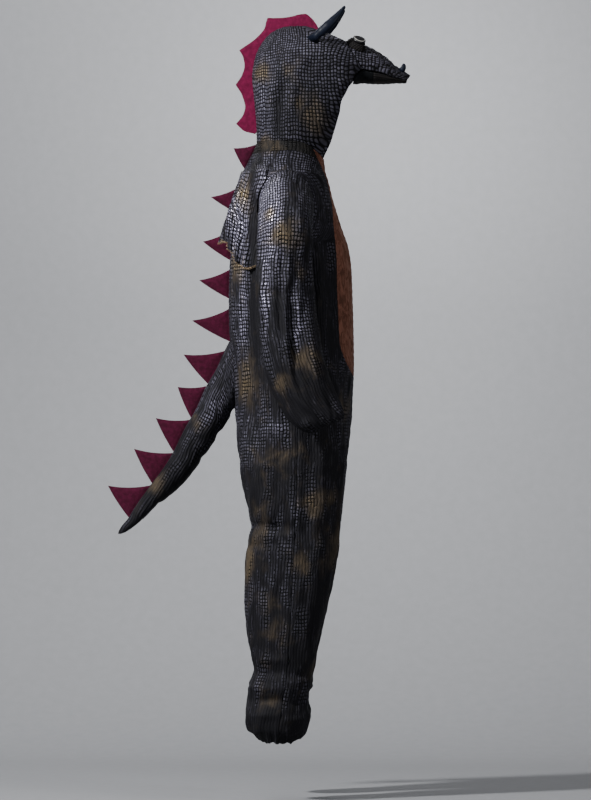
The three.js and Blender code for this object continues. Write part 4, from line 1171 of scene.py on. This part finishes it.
SLEEVE_CREASES = [  # drop, angle, half length, half width, depth, slant
    (-400, 5, 100, 2.6, 5, -0.07),
    (-400, -5, 110, 4, -5, -0.07),
    (-390, 16, 100, 6, -5, -0.06),
    (-330, 40, 70, 4, 4, 0.12),
    (-350, 52, 60, 3, -3.5, 0.14),
    (-300, -30, 70, 4, 4, -0.06),
    (-240, -10, 50, 4, 3.5, 0.04),
    (-230, 6, 60, 3, -3.5, 0.02),
    (-250, 60, 60, 5, 3.5, 0.1),
    (-470, -40, 60, 5, 4, -0.1),
    (-500, 36, 60, 4, -3.5, -0.16),
    (-540, 60, 40, 5, 4, -0.1),
    (-560, 10, 26, 6, 4, 0.2),
    (-576, -44, 16, 10, -4, 0),
    (-588, 30, 10, 16, 3.5, 0),
    (-290, 130, 70, 6, 4, 0.1),
    (-430, 150, 80, 6, -4, 0),
    (-380, 240, 80, 6, 4, 0),
    (-560, 200, 26, 14, -4, 0),
]
SEAM_DEGREES = 0.15
wrist_part = 1 + (SLEEVE_TOP - WRIST) / PART_LENGTH
sleeve_parts = np.concatenate([np.linspace(0, 1, 34)[:-1], rows_between(1, wrist_part, 0.045)])


def sleeve_half(start, end):
    full = np.full(sleeve_parts.shape, 1.0)
    return spread(sleeve_parts, start * full + SEAM_DEGREES, end * full - SEAM_DEGREES, 72)


for side in ("right", "left"):
    for which, start, end in (("outer", -90, 90), ("under", 90, 270)):
        parts, degrees = sleeve_half(start, end)
        drop = SLEEVE_TOP - (parts - 1) * PART_LENGTH
        calm = CREASE_GAIN * np.clip((parts - 0.15) / 0.6, 0, 1)
        wave = np.sin(2 * math.pi * degrees / CAP_PINCH_PITCH + 1.2 * np.sin(degrees / 31))
        pinch = CAP_PINCH * wave * np.exp(-((parts / 0.3) ** 2))
        sleeve = cloth_sheet(
            "sleeve_" + which + "_cloth_" + side,
            sleeve_point(parts, degrees),
            -1,
            WALL,
            edges="lrt",
            relief=calm * fold_height(SLEEVE_CREASES, drop, degrees) + pinch,
            rough=2.2,
            gather=WRIST_GATHERS,
        )
        hang(sleeve, "scale_cloth", "hung", "sleeve_" + which + "_" + side)

# %% [markdown]
# ## Shoulder flaps
# A gathered flap hangs from the back of each shoulder. Its lower edge is cut and overlocked, and the tan
# thread and the knitted back show there.

# %% Flaps
flap_at = curves(
    "across hem stand_off turn",
    [
        (0, -178, 24, 257),
        (0.2, -172, 24, 249),
        (0.4, -190, 17, 241),
        (0.55, -212, 13, 235),
        (0.7, -231, 10, 229),
        (0.85, -237, 10, 222),
        (1, -222, 10, 214),
    ],
)
FELT_FOOT = -1.6  # a felt piece is sewn into its seam this far under the cloth's face
ON_CLOTH, FLAP_TOP, FLAP_GATHERS, GATHER_DEPTH = 0.5, -2, 5, 5


def beside_armhole(height):
    """The angle at which the flap's front edge runs, just behind the sleeve's seam."""
    return np.maximum(outer_back(height) + 3, 205)


def flap_point(across, down):
    hem, stand_off, turn = flap_at(across)
    height = FLAP_TOP + (hem - FLAP_TOP) * down
    turn = turn + (beside_armhole(height) - 214) * np.clip((across - 0.6) / 0.4, 0, 1) ** 2
    gather = GATHER_DEPTH * down * np.sin(2 * math.pi * (FLAP_GATHERS * across + 0.25 * down))
    close = 1 - 0.75 * np.clip((across - 0.8) / 0.2, 0, 1) ** 2  # sewn down beside the armhole
    out = ON_CLOTH + CLOTH + 1 + (stand_off * down**1.25 + gather) * close
    return body_point(height, turn) + out[..., None] * normals(body_point, height, turn, BODY_STEP)


# %% [markdown]
# An overlocker lays short slanting stitches over a cut edge, dozens of them and all alike. They could be
# a texture, but they stand up from the cloth. Geometry Nodes space them along the edge's own line and turn
# each one to follow it, so the pitch stays real wherever the edge bends.

# %% Stitches along an edge, by Geometry Nodes
def geometry_node(tree, kind, **values):
    node = tree.nodes.new(kind)
    for key, value in values.items():
        setattr(node, key, value)
    return node


def stitch_tree():
    """Stitches set along an edge: the line is resampled to their pitch and each point takes one."""
    tree = bpy.data.node_groups.new("stitches_along_an_edge", "GeometryNodeTree")
    face = tree.interface
    face.new_socket("Edge", in_out="INPUT", socket_type="NodeSocketGeometry")
    for name in ("Pitch", "Thread radius", "Stitch length", "Slant"):
        face.new_socket(name, in_out="INPUT", socket_type="NodeSocketFloat")
    face.new_socket("Thread", in_out="INPUT", socket_type="NodeSocketMaterial")
    face.new_socket("Stitches", in_out="OUTPUT", socket_type="NodeSocketGeometry")
    given = geometry_node(tree, "NodeGroupInput").outputs
    curve = geometry_node(tree, "GeometryNodeMeshToCurve")
    evened = geometry_node(tree, "GeometryNodeResampleCurve", mode="LENGTH")
    thread = geometry_node(tree, "GeometryNodeMeshCylinder", fill_type="TRIANGLE_FAN")
    thread.inputs["Vertices"].default_value = 6
    thread.inputs["Side Segments"].default_value = 3
    tangent = geometry_node(tree, "GeometryNodeInputTangent")
    turned = geometry_node(tree, "FunctionNodeAlignRotationToVector", axis="X")
    leaning = geometry_node(tree, "FunctionNodeRotateRotation", rotation_space="LOCAL")
    euler = geometry_node(tree, "FunctionNodeEulerToRotation")
    lean = geometry_node(tree, "ShaderNodeCombineXYZ")
    places = geometry_node(tree, "GeometryNodeInstanceOnPoints")
    real = geometry_node(tree, "GeometryNodeRealizeInstances")
    dyed = geometry_node(tree, "GeometryNodeSetMaterial")
    out = geometry_node(tree, "NodeGroupOutput")
    for start, end in (
        (given["Edge"], curve.inputs["Mesh"]),
        (curve.outputs["Curve"], evened.inputs["Curve"]),
        (given["Pitch"], evened.inputs["Length"]),
        (given["Thread radius"], thread.inputs["Radius"]),
        (given["Stitch length"], thread.inputs["Depth"]),
        (tangent.outputs[0], turned.inputs["Vector"]),
        (turned.outputs[0], leaning.inputs["Rotation"]),
        (given["Slant"], lean.inputs["Y"]),
        (lean.outputs[0], euler.inputs[0]),
        (euler.outputs[0], leaning.inputs["Rotate By"]),
        (evened.outputs["Curve"], places.inputs["Points"]),
        (thread.outputs["Mesh"], places.inputs["Instance"]),
        (leaning.outputs[0], places.inputs["Rotation"]),
        (places.outputs["Instances"], real.inputs["Geometry"]),
        (real.outputs["Geometry"], dyed.inputs["Geometry"]),
        (given["Thread"], dyed.inputs["Material"]),
        (dyed.outputs["Geometry"], out.inputs["Stitches"]),
    ):
        tree.links.new(start, end)
    return tree


STITCHES = stitch_tree()


def stitched(name, line, pitch, radius, length, slant, thread):
    mesh = bpy.data.meshes.new(name)
    count = len(line)
    mesh.from_pydata((line * MM).tolist(), [(i, i + 1) for i in range(count - 1)], [])
    made = bpy.data.objects.new(name, mesh)
    bpy.context.scene.collection.objects.link(made)
    modifier = made.modifiers.new("stitches", "NODES")
    modifier.node_group = STITCHES
    sizes = {
        "Pitch": pitch * MM,
        "Thread radius": radius * MM,
        "Stitch length": length * MM,
        "Slant": slant,
        "Thread": thread,
    }
    for item in STITCHES.interface.items_tree:
        if item.in_out == "INPUT" and item.name in sizes:
            modifier[item.identifier] = sizes[item.name]
    made.update_tag()
    evaluated = made.evaluated_get(bpy.context.evaluated_depsgraph_get())
    sewing = bpy.data.meshes.new_from_object(evaluated)
    made.modifiers.clear()
    made.data = sewing
    sewing.shade_smooth()
    sewing.materials.clear()
    sewing.materials.append(thread)
    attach(made, "root")
    print(name, len(sewing.polygons), "faces")
    return made


down, across = np.meshgrid(np.linspace(0, 1, 50), np.linspace(0, 1, 60), indexing="ij")
pleats = 3.0 * down * np.sin(2 * math.pi * (13 * across + 0.6 * np.sin(5 * across) + 0.2 * down))
for side in ("right", "left"):
    flap = cloth_sheet(
        "flap_cloth_" + side,
        flap_point(across, down),
        1,
        [SCALES, KNIT_BACK, COLLAR_SCALES],
        edges="t",
        relief=pleats,
        rough=0.8,
    )
    hem_line = np.array([list(v.co) for v in flap.data.vertices])[-across.shape[1] :] / MM
    overlock = stitched("overlock_" + side, hem_line, 2.6, 0.5, 6.0, 0.35, TAN_THREAD)
    hang(
        flap,
        "scale_cloth",
        "gathered",
        "shoulder_flap_" + side,
        rests_on=["back_cloth_" + side],
        trim=[overlock],
    )

# %% [markdown]
# ## Hood
# The hood is a bent tube. Each station is a straight section from the outer side, at the nape, crown and
# brow, to the inner side, at the throat, face opening and jaw. The snout goes on from its last station.

# %% Hood
hood_at = curves(
    "station outer_y outer_z inner_y inner_z half edge_half sag",
    [
        (0, 71, 67, -89, 28, 79, 16, 22),  # neck seam
        (1, 74, 120, -103, 58, 86, 34, 10),
        (2, 79, 173, -115, 101, 93, 52, 3),
        (3, 83, 221, -125, 137, 97, 62, 0),
        (4, 77, 264, -132, 168, 99, 68, 0),
        (5, 60, 302, -142, 187, 99, 71, 0),
        (6, 34, 329, -149, 202, 97, 72, 0),
        (7, -2, 342, -155, 209, 94, 71, 0),  # crown
        (8, -38, 343, -161, 219, 89, 68, 0),
        (9, -74, 334, -166, 227, 82, 64, 0),
        (10, -106, 322, -172, 233, 74, 60, 0),
        (11, -134, 310, -180, 237, 67, 56, 0),  # snout seam
        (12, -170, 300, -194, 235, 59, 52, 0),
        (13, -196, 293, -213, 232, 53, 47, 0),
        (14, -218, 281, -231, 228, 47, 42, 0),
        (15, -240, 266, -247, 222, 40, 35, 0),
        (16, -258, 249, -264, 217, 32, 28, 0),
        (17, -279, 235, -285, 212.5, 22, 20, 0),  # nose
    ],
)
SNOUT_SEAM, NOSE, MIDDLE_DEGREES = 11, 17, 0.03
NECK_CLEAR = -0.6  # the hood's edge is turned into the seam, so that no light comes through it


def hood_end(station):
    half, edge_half = hood_at(station)[4:6]
    return 180 - np.degrees(np.arcsin(edge_half / half))


def hood_section(station, degrees):
    outer_y, outer_z, inner_y, inner_z, half, _, sag = hood_at(station)
    along = (1 - cosine(degrees)) / (1 - cosine(hood_end(station)))
    return point(
        RIGHT * half * sine(degrees),
        outer_y + (inner_y - outer_y) * along,
        outer_z + (inner_z - outer_z) * along + sag * sine(degrees) ** 2,
    )


def hood_point(station, degrees):
    station, degrees = np.broadcast_arrays(np.asarray(station, float), degrees)
    onto = body_point(np.full(degrees.shape, float(NECKLINE)), 270 - degrees) + (0, 0, NECK_CLEAR)
    ease = onto - hood_section(np.zeros(degrees.shape), degrees)
    share = np.maximum(1 - station, 0)[..., None]
    return hood_section(station, degrees) + ease * share


def hood_normal(station, degrees):
    return -normals(hood_point, station, degrees, (0.01, 0.5))


def on_hood(station, degrees, out):
    out = np.asarray(out, float)[..., None]
    return hood_point(station, degrees) + out * hood_normal(station, degrees)


HOOD_CREASES = [  # station, angle, half length in stations, half width, depth, slant
    (3.0, 40, 2.2, 5, -5, 1),
    (3.0, 54, 2.4, 6, 5, 1),
    (2.8, 68, 2.2, 5, -6, 1),
    (2.5, 81, 2.0, 5, 4, 0),
    (1.2, 96, 0.9, 6, 4, -6),
    (0.9, 50, 0.8, 5, -4, 3),
    (4.6, 52, 1.6, 7, -4, 3),
    (5.4, 76, 1.4, 8, 3.5, 2),
    (6.6, 44, 1.2, 8, -3.5, 2),
    (8.0, 84, 1.0, 8, 3, 0),
    (9.6, 60, 0.9, 9, -3.5, 3),
    (10.4, 34, 0.5, 12, 3, 0),
]
hood_stations = rows_between(0, SNOUT_SEAM - 0.005, 0.09)
hood_grid = spread(
    hood_stations, np.full(hood_stations.shape, MIDDLE_DEGREES), hood_end(hood_stations), 60
)
hood_bare = hood_point(*hood_grid)
for side in ("right", "left"):
    hood = cloth_sheet(
        "hood_cloth_" + side,
        hood_bare,
        -1,
        [HOOD_SCALES, KNIT_BACK],
        edges="ltb",
        relief=fold_height(HOOD_CREASES, *hood_grid),
        rough=1.6,
        grain=side_grain(hood_bare),
    )
    hang(hood, "scale_cloth", "hung", "hood_" + side)

# %% [markdown]
# ## Stuffed pieces
# The snout, the mouth, the eye sockets, the horns and the tail are cloth over a filling. They are closed
# forms, drawn in a little wherever their cloth is gathered into a seam.

# %% Snout and mouth
def pad(made, slot, node):
    dress(made, slot, node)


def snout_rings():
    stations = rows_between(SNOUT_SEAM + 0.005, NOSE, 0.08)
    ends = hood_end(stations)
    stretch, degrees = spread(stations, -ends, ends, 72)
    skin = hood_point(stretch, degrees)
    near_seam = np.exp(-(((stretch - SNOUT_SEAM) / 0.22) ** 2))
    quilt = 0.8 * np.sin(stretch * 9) * np.clip(1 - np.abs(degrees) / 100, 0, 1)
    skin = skin + hood_normal(stretch, degrees) * (quilt - 1.6 * near_seam)[..., None]
    share = np.linspace(0, 1, 22)[1:-1, None]
    under = skin[:, -1:] + (skin[:, :1] - skin[:, -1:]) * share[None]
    return np.concatenate([skin, under], 1)


NOSE_TIP = (0, -294, 225)
rings = snout_rings()
grain = side_grain(widen(rings))
snout = stuffed("snout_stuffed", rings, rings[0].mean(0), NOSE_TIP, grain, HOOD_SCALES, flip=True)
pad(snout, "scale_cloth", "snout")

mouth_at = curves(
    "y top bottom half",
    [
        (-155, 210, 205, 60),
        (-163, 221, 204, 58),
        (-172, 231, 205, 55.5),
        (-180, 236, 206, 53),
        (-194, 233, 205, 49),
        (-213, 230, 204, 44),
        (-231, 226, 204, 39),
        (-247, 221, 205, 33),
        (-262, 217, 206, 26),
        (-278, 213, 206, 20),
        (-288, 212, 208.5, 13),
    ],
)
UNDER_SNOUT, LIP_START = 1.2, -206


def mouth_rings(first, last, count):
    y = np.linspace(first, last, count)[:, None]
    top, bottom, half = mouth_at(y)
    roof = top - UNDER_SNOUT
    turn = np.linspace(0, 180, 40)[None]
    crease = 0.5 * np.sin(y * 0.5 + 2 * cosine(turn)) * sine(turn)
    low = roof - (roof - bottom) * sine(turn) ** 0.8 + crease
    belly = point(half * cosine(turn), y, low)
    share = np.linspace(-1, 1, 16)[None, 1:-1]
    ceiling = point(half * share, y, roof + 0 * share)
    return np.concatenate([belly, ceiling], 1)


for name, first, last, material, slot in (
    ("mouth_lining", -158, LIP_START + SEAM, MOUTH_JERSEY, "mouth_jersey"),
    ("lower_lip", LIP_START, -285, LIP_SCALES, "lip_cloth"),
):
    rings = mouth_rings(first, last, 24)
    grain = wrapped_grain(rings)
    piece = stuffed(name + "_stuffed", rings, rings[0].mean(0), rings[-1].mean(0), grain, material)
    pad(piece, slot, name)

# %% [markdown]
# Each eye is a moulded disc on a soft round mound. The mound grows out of the hood's surface ring by ring,
# so that its foot follows the curve of the head, and a roll goes round it below the eye. The left side is
# the right one mirrored.

# %% Eye sockets and eyes
EYE_STATION, EYE_DEGREES = 11.72, 42
SOCKET_HALF = (0.72, 21)  # stations and degrees
SOCKET_HEIGHT = 17


def mirror(places, side):
    return places * (-1, 1, 1) if side == "left" else places


def mound(station, degrees, half, heights, sizes, columns):
    """Rings round a place on the hood, of the given shares of a half size and heights above it."""
    turn = np.linspace(0, 360, columns, endpoint=False)[None]
    sizes, heights = np.asarray(sizes)[:, None], np.asarray(heights)[:, None]
    at_station = station + half[0] * sizes * cosine(turn)
    at_degrees = degrees + half[1] * sizes * sine(turn)
    return on_hood(at_station, at_degrees, heights + 0 * turn)


def socket_rings():
    turns = np.linspace(0, 80, 22)
    roll = 1.6 * np.exp(-(((turns - 46) / 9) ** 2)) - 1.4 * np.exp(-(((turns - 64) / 6) ** 2))
    sizes = [0.5, 0.97, *cosine(turns)]
    heights = [ON_CLOTH, ON_CLOTH, *(ON_CLOTH + 1 + SOCKET_HEIGHT * sine(turns) + roll)]
    return mound(EYE_STATION, EYE_DEGREES, SOCKET_HALF, heights, sizes, 48)


EYE_RADIUS, EYE_DOME = 16, 4


def eye_rings(seat, facing):
    turns = np.linspace(0, 360, 48, endpoint=False)
    side_way = np.cross(facing, (0, 0, 1))
    side_way /= np.linalg.norm(side_way)
    up_way = np.cross(side_way, facing)
    profile = [(0.5, 0), (0.97, 0), (1, 0.3), (1, 1.7), (0.98, 2)]
    profile += [(cosine(t), 2 + EYE_DOME * sine(t)) for t in np.linspace(12, 84, 16)]
    rings, grain = [], []
    for size, up in profile:
        c, s = EYE_RADIUS * size * cosine(turns), EYE_RADIUS * size * sine(turns)
        rings.append(seat + np.outer(c, side_way) + np.outer(s, up_way) + up * facing)
        flat = np.stack([c, s], -1)
        grain.append(np.concatenate([flat, flat[:1]]))
    return np.stack(rings), np.stack(grain)


eye_seat = on_hood(EYE_STATION, EYE_DEGREES, ON_CLOTH + 1 + SOCKET_HEIGHT + 0.4)
eye_facing = hood_normal(EYE_STATION, EYE_DEGREES)
for side in ("right", "left"):
    rings = mirror(socket_rings(), side)
    start, end = rings[0].mean(0), rings[-1].mean(0)
    socket = stuffed(
        "eye_socket_stuffed_" + side, rings, start, end, wrapped_grain(rings), LIP_SCALES, side == "left"
    )
    pad(socket, "scale_cloth", "eye_socket_" + side)
    rings, grain = eye_rings(eye_seat, eye_facing)
    rings = mirror(rings, side)
    top = mirror(eye_seat + (2 + EYE_DOME) * eye_facing, side)
    eye = stuffed(
        "eye_moulded_" + side, rings, rings[0].mean(0), top, grain, EYE_PLASTIC, side == "left"
    )
    dress(eye, "eye_gloss", "eye_" + side)

# %% [markdown]
# The horns are stuffed satin cones that bend. A foot on the hood's own surface and one smooth curve to the
# tip are enough for their form. The two large ones swell a little above the foot, where the filling is
# packed in. The two small ones over the nostrils only taper.

# %% Horns
def horn_rings(station, degrees, half, control, stops, columns):
    """From a foot on the hood along a quadratic curve. stops are shares of the curve and radii."""
    foot = mound(station, degrees, half, [ON_CLOTH, ON_CLOTH], [0.5, 1], columns)
    start, bend, tip = [np.asarray(p, float) for p in control]
    heart = foot[1].mean(0)
    shares, radii = [s for s, _ in stops], [r for _, r in stops]
    radius_at = smooth_curve(shares, radii)
    rings = [foot[0], foot[1]]
    for share in np.linspace(shares[0], shares[-1], 36):
        at = (1 - share) ** 2 * start + 2 * share * (1 - share) * bend + share**2 * tip
        along = (1 - share) * (bend - start) + share * (tip - bend)
        along = along / np.linalg.norm(along)
        out = foot[1] - heart
        out = out - np.outer(out @ along, along)
        out = out / np.linalg.norm(out, axis=1, keepdims=True)
        pinch = 1 + 0.03 * math.sin(share * 34)
        rings.append(at + out * float(radius_at(share)) * pinch)
    return np.stack(rings), tip


HORN_STOPS = [(0.1, 9), (0.14, 9.5), (0.3, 11.6), (0.46, 11.2), (0.64, 9), (0.82, 6)]
HORN_STOPS += [(0.94, 4.4), (0.985, 2.6)]
NOSTRIL_STOPS = [(0.3, 7), (0.35, 6.8), (0.75, 5), (0.93, 3)]
for side in ("right", "left"):
    for name, station, degrees, half, lift, bend, tip, stops, columns in (
        ("horn", 7.55, 58, (0.3, 8), 2, (-102, -108, 343), (-72, -138, 386), HORN_STOPS, 32),
        ("nostril_horn", 16.66, 36, (0.32, 20), 1, (-17, -279, 243), (-16, -277, 253), NOSTRIL_STOPS, 24),
    ):
        start = on_hood(station, degrees, lift)
        rings, end = horn_rings(station, degrees, half, (start, bend, tip), stops, columns)
        rings, end = mirror(rings, side), mirror(end, side)
        horn = stuffed(
            name + "_stuffed_" + side,
            rings,
            rings[0].mean(0),
            end,
            wrapped_grain(rings),
            HORN_SATIN,
            side == "left",
        )
        pad(horn, "horn_satin", name + "_" + side)

# %% [markdown]
# ## Tail
# The tail is a stuffed cone that starts at the seat and pinches across its underside where it bends.

# %% Tail
tail_at = curves(
    "ring y z radius",
    [
        (-3, 71, -410, 60),
        (-2, 87, -431, 56),
        (-1, 104, -455, 52),
        (0, 128, -494, 46),
        (1, 151, -530, 44),
        (2, 181, -586, 40.5),
        (3, 215.5, -643, 37.5),
        (4, 243, -689, 33.5),
        (5, 266, -721, 31),
        (6, 288, -746, 28),
        (7, 305, -764, 25),
        (8, 330, -790, 20),
        (9, 351, -816, 17),
        (10, 367, -835, 13),
        (11, 388, -854, 9),
        (12, 402, -866, 2.5),  # tip
    ],
)
TAIL_HEAD, TAIL_TIP, TAIL_CLEAR, TAIL_SQUARE = -3, 12, -3.0, 2.1
TAIL_FOLDS = [
    (1.5, 180, 0.16, 55, -4, 0),
    (2.4, 180, 0.16, 55, -4, 0),
    (3.5, 180, 0.18, 50, -4, 0),
    (7.6, 180, 0.2, 50, -3, 0),
]
TAIL_CREASES = [  # ring, angle, half length in rings, half width, depth, slant
    (1.9, 90, 0.08, 60, -2.2, 0),
    (2.9, 110, 0.1, 55, -2.5, 0),
    (4.3, 120, 0.1, 50, -2.5, 0),
    (5.5, 130, 0.12, 50, -2, 0),
    (6.6, 120, 0.12, 55, -2, 0),
    (9.4, 130, 0.14, 60, -1.2, 0),
    (1.3, 60, 0.3, 9, 2.5, 10),
    (3.2, 70, 0.7, 8, 2.5, 6),
    (5.0, 50, 0.8, 9, 2, 5),
]


def tail_frame(ring):
    ahead = tail_at(np.minimum(ring + 0.05, TAIL_TIP))
    behind = tail_at(np.maximum(ring - 0.05, TAIL_HEAD))
    along_y, along_z = ahead[0] - behind[0], ahead[1] - behind[1]
    size = np.hypot(along_y, along_z)
    return point(0, -along_z / size, along_y / size)


def tail_point(ring, degrees):
    y, z, radius = tail_at(ring)
    size = radius + fold_height(TAIL_FOLDS, ring, np.abs(degrees))
    across = RIGHT * size * sine(degrees)
    return point(across, y, z) + tail_frame(ring) * (size * cosine(degrees))[..., None]


def root_ring(degrees):
    """The ring number at which the tail's surface comes clear of the body's back."""
    low, high = np.full(degrees.shape, float(TAIL_HEAD)), np.full(degrees.shape, 2.0)
    for _ in range(40):
        trial = (low + high) / 2
        x, y, z = np.moveaxis(tail_point(trial, degrees), -1, 0)
        _, _, outer, _, _, back, side = body_at(z)
        inside = y < side + (back - side) * np.sqrt(1 - (x / outer) ** 2) + TAIL_CLEAR
        low, high = np.where(inside, trial, low), np.where(inside, high, trial)
    return high


def tail_rings():
    turns = np.linspace(-180, 180, 64, endpoint=False)[None]
    parts = np.linspace(0, 1, 30)[:-1, None]
    root = root_ring(turns)
    rings = np.concatenate(
        [root + (TAIL_SQUARE - root) * parts, rows_between(TAIL_SQUARE, 11.7, 0.09)[:, None] + 0 * turns]
    )
    turns = np.repeat(turns, len(rings), 0)
    skin = tail_point(rings, turns)
    closed = widen(skin)
    u, v = arc_lengths(closed, 1)[:, :-1], arc_lengths(closed, 0)[:, :-1]
    height = fold_height(TAIL_CREASES, rings, np.abs(turns)) + crumple(u, v, 71, 0.7)
    height = height * np.minimum(1, v / 20) - 1.2 * np.exp(-((v / 6) ** 2))
    return skin + grid_normals(skin, closed=True) * height[..., None]


rings = tail_rings()
tip = (tail_point(12.0, np.array(0.0)) + tail_point(12.0, np.array(180.0))) / 2
tail = stuffed("tail_stuffed", rings, rings[0].mean(0), tip, wrapped_grain(rings), SCALES)
pad(tail, "scale_cloth", "tail")

# %% [markdown]
# ## Felt
# Spikes are two layers of felt over a thin filling. The crest is one strip along the hood's middle seam,
# and its outer edge runs in hollow curves from one point to the next.

# %% Spikes
FELT_EDGE, FELT_MIDDLE, SPIKE_BOW = 1.5, 5, 0.05


def back_line(height):
    places = body_point(height, 270.0 + 0 * height)
    return np.stack([places[..., 1] + FELT_FOOT, places[..., 2]], -1)


def tail_line(height):
    low, high = np.full(height.shape, float(TAIL_HEAD)), np.full(height.shape, float(TAIL_TIP))
    for _ in range(40):
        trial = (low + high) / 2
        above = tail_ridge(trial)[..., 1] > height
        low, high = np.where(above, trial, low), np.where(above, high, trial)
    return tail_ridge(low)


def tail_ridge(ring):
    places = tail_point(ring, np.zeros(ring.shape)) + FELT_FOOT * tail_frame(ring)
    return places[..., 1:]


def bowed(start, end, bow, count):
    share = np.linspace(0, 1, count, endpoint=False)[1:, None]
    way = end - start
    aside = np.array([-way[1], way[0]])
    return start + way * share + aside * 4 * bow * share * (1 - share)


def spike_outline(line, start, end, tip):
    base = line(np.linspace(start, end, 16))
    tip = np.array(tip, float)
    lower = bowed(base[-1], tip, -SPIKE_BOW / 2, 20)
    upper = bowed(tip, base[0], SPIKE_BOW, 20)
    return np.concatenate([base, lower, [tip], upper])


def felt_pillow(name, outline, material):
    centre = outline.mean(0)
    rings = []
    sizes = [0.25, 0.5, 0.7, 0.84, 0.93, 0.975, 1]
    for sign, shares in ((-1, sizes), (1, sizes[::-1])):
        for size in shares:
            half = FELT_EDGE + (FELT_MIDDLE - FELT_EDGE) * (1 - size**2.2) ** 0.8
            groove = 0.9 * math.exp(-(((size - 0.93) / 0.03) ** 2))
            yz = centre + (outline - centre) * size
            rings.append(point(sign * (half - groove), yz[:, 0], yz[:, 1]))
    rings = np.stack(rings)
    flat = np.stack([rings[..., 1], rings[..., 2]], -1)
    grain = np.concatenate([flat, flat[:, :1]], 1)
    start, end = (-FELT_MIDDLE, *centre), (FELT_MIDDLE, *centre)
    return stuffed(name, rings, start, end, grain, material, flip=True)


BACK_SPIKES = [  # heights at which the foot starts and ends, and the tip's y and z
    (64, 8, 127, 52),
    (-40, -100, 181, -64),
    (-140, -215, 200, -170),
    (-236, -306, 209, -262),
    (-330, -409, 226, -358),
]
TAIL_SPIKES = [
    (-430, -509, 246, -439),
    (-514, -591, 260, -516),
    (-594, -671, 312, -590),
    (-673, -746, 364, -663),
    (-750, -828, 426, -751),
]
for row, spikes, line in (("back", BACK_SPIKES, back_line), ("tail", TAIL_SPIKES, tail_line)):
    for number, (start, end, tip_y, tip_z) in enumerate(spikes, 1):
        # Every spike takes the felt darkened as painted shade.
        outline = spike_outline(line, start, end, (tip_y, tip_z))
        spike = felt_pillow(f"{row}_spike_felt_{number}", outline, SHADED_SPIKE_FELT)
        pad(spike, "crimson_felt", f"{row}_spike_{number}")

# %% [markdown]
# The crest could be a row of spikes, but its points share one foot, so it is a single strip. Each step
# along its edge has its own foot on the hood, and the strip thins from the foot to the edge.

# %% Crest
CREST_EDGE = [  # station of the foot, y and z of the edge, and 1 for a sharp point
    (9.0, -76, 337, 1),
    (8.75, -66, 353, 0),
    (8.4, -55, 365, 0),
    (8.0, -43, 372, 0),
    (7.6, -28, 370, 0),
    (7.2, -8, 365, 0),
    (6.8, 20, 362, 0),
    (6.2, 46.5, 362, 1),
    (5.95, 50, 350, 0),
    (5.75, 53, 338, 0),
    (5.4, 72, 315, 0),
    (4.9, 113.5, 285, 1),
    (4.4, 104, 268, 0),
    (3.9, 101, 248, 0),
    (3.3, 107, 226, 0),
    (2.75, 122, 203, 1),
    (2.35, 107, 178, 0),
    (1.9, 99.5, 151, 0),
    (1.5, 104, 132, 0),
    (1.15, 121, 110, 1),
    (0.8, 100, 92, 0),
    (0.45, 76, 86, 1),
]


def crest_edge():
    """The edge as a fine line: a smooth curve between each pair of sharp points."""
    table = np.array(CREST_EDGE, float)
    sharp = [i for i, row in enumerate(table) if row[3]]
    runs = []
    for first, last in zip(sharp[:-1], sharp[1:]):
        at = np.arange(first, last + 1)
        fine = np.linspace(first, last, 7 * (last - first) + 1)
        run = np.stack([smooth_curve(at, table[at, column])(fine) for column in range(3)], -1)
        runs.append(run if first == sharp[0] else run[1:])
    return np.concatenate(runs)


def crest_rings():
    edge = crest_edge()
    stations = edge[:, 0]
    foot = on_hood(stations, np.zeros(stations.shape), np.full(stations.shape, FELT_FOOT))
    rim = point(0, edge[:, 1], edge[:, 2])
    parts = np.array([0, 0.06, 0.15, 0.3, 0.5, 0.7, 0.84, 0.93, 0.975, 1])
    half = FELT_MIDDLE * 0.8 + (FELT_EDGE - FELT_MIDDLE * 0.8) * parts
    half = half - 0.8 * np.exp(-(((parts - 0.93) / 0.03) ** 2))
    line = foot[:, None] + (rim - foot)[:, None] * parts[None, :, None]
    ripple = 0.5 * np.sin(stations * 11)[:, None] * np.sin(math.pi * parts)[None]
    right = line * (0, 1, 1) + np.stack([ripple - half, 0 * ripple, 0 * ripple], -1)
    left = line * (0, 1, 1) + np.stack([ripple + half, 0 * ripple, 0 * ripple], -1)
    return np.concatenate([right, left[:, ::-1]], 1)


rings = crest_rings()
flat = np.stack([rings[..., 1], rings[..., 2]], -1)
crest = stuffed(
    "crest_felt",
    rings,
    rings[0].mean(0),
    rings[-1].mean(0),
    np.concatenate([flat, flat[:, :1]], 1),
    FELT,
    flip=True,
)
pad(crest, "crimson_felt", "crest")
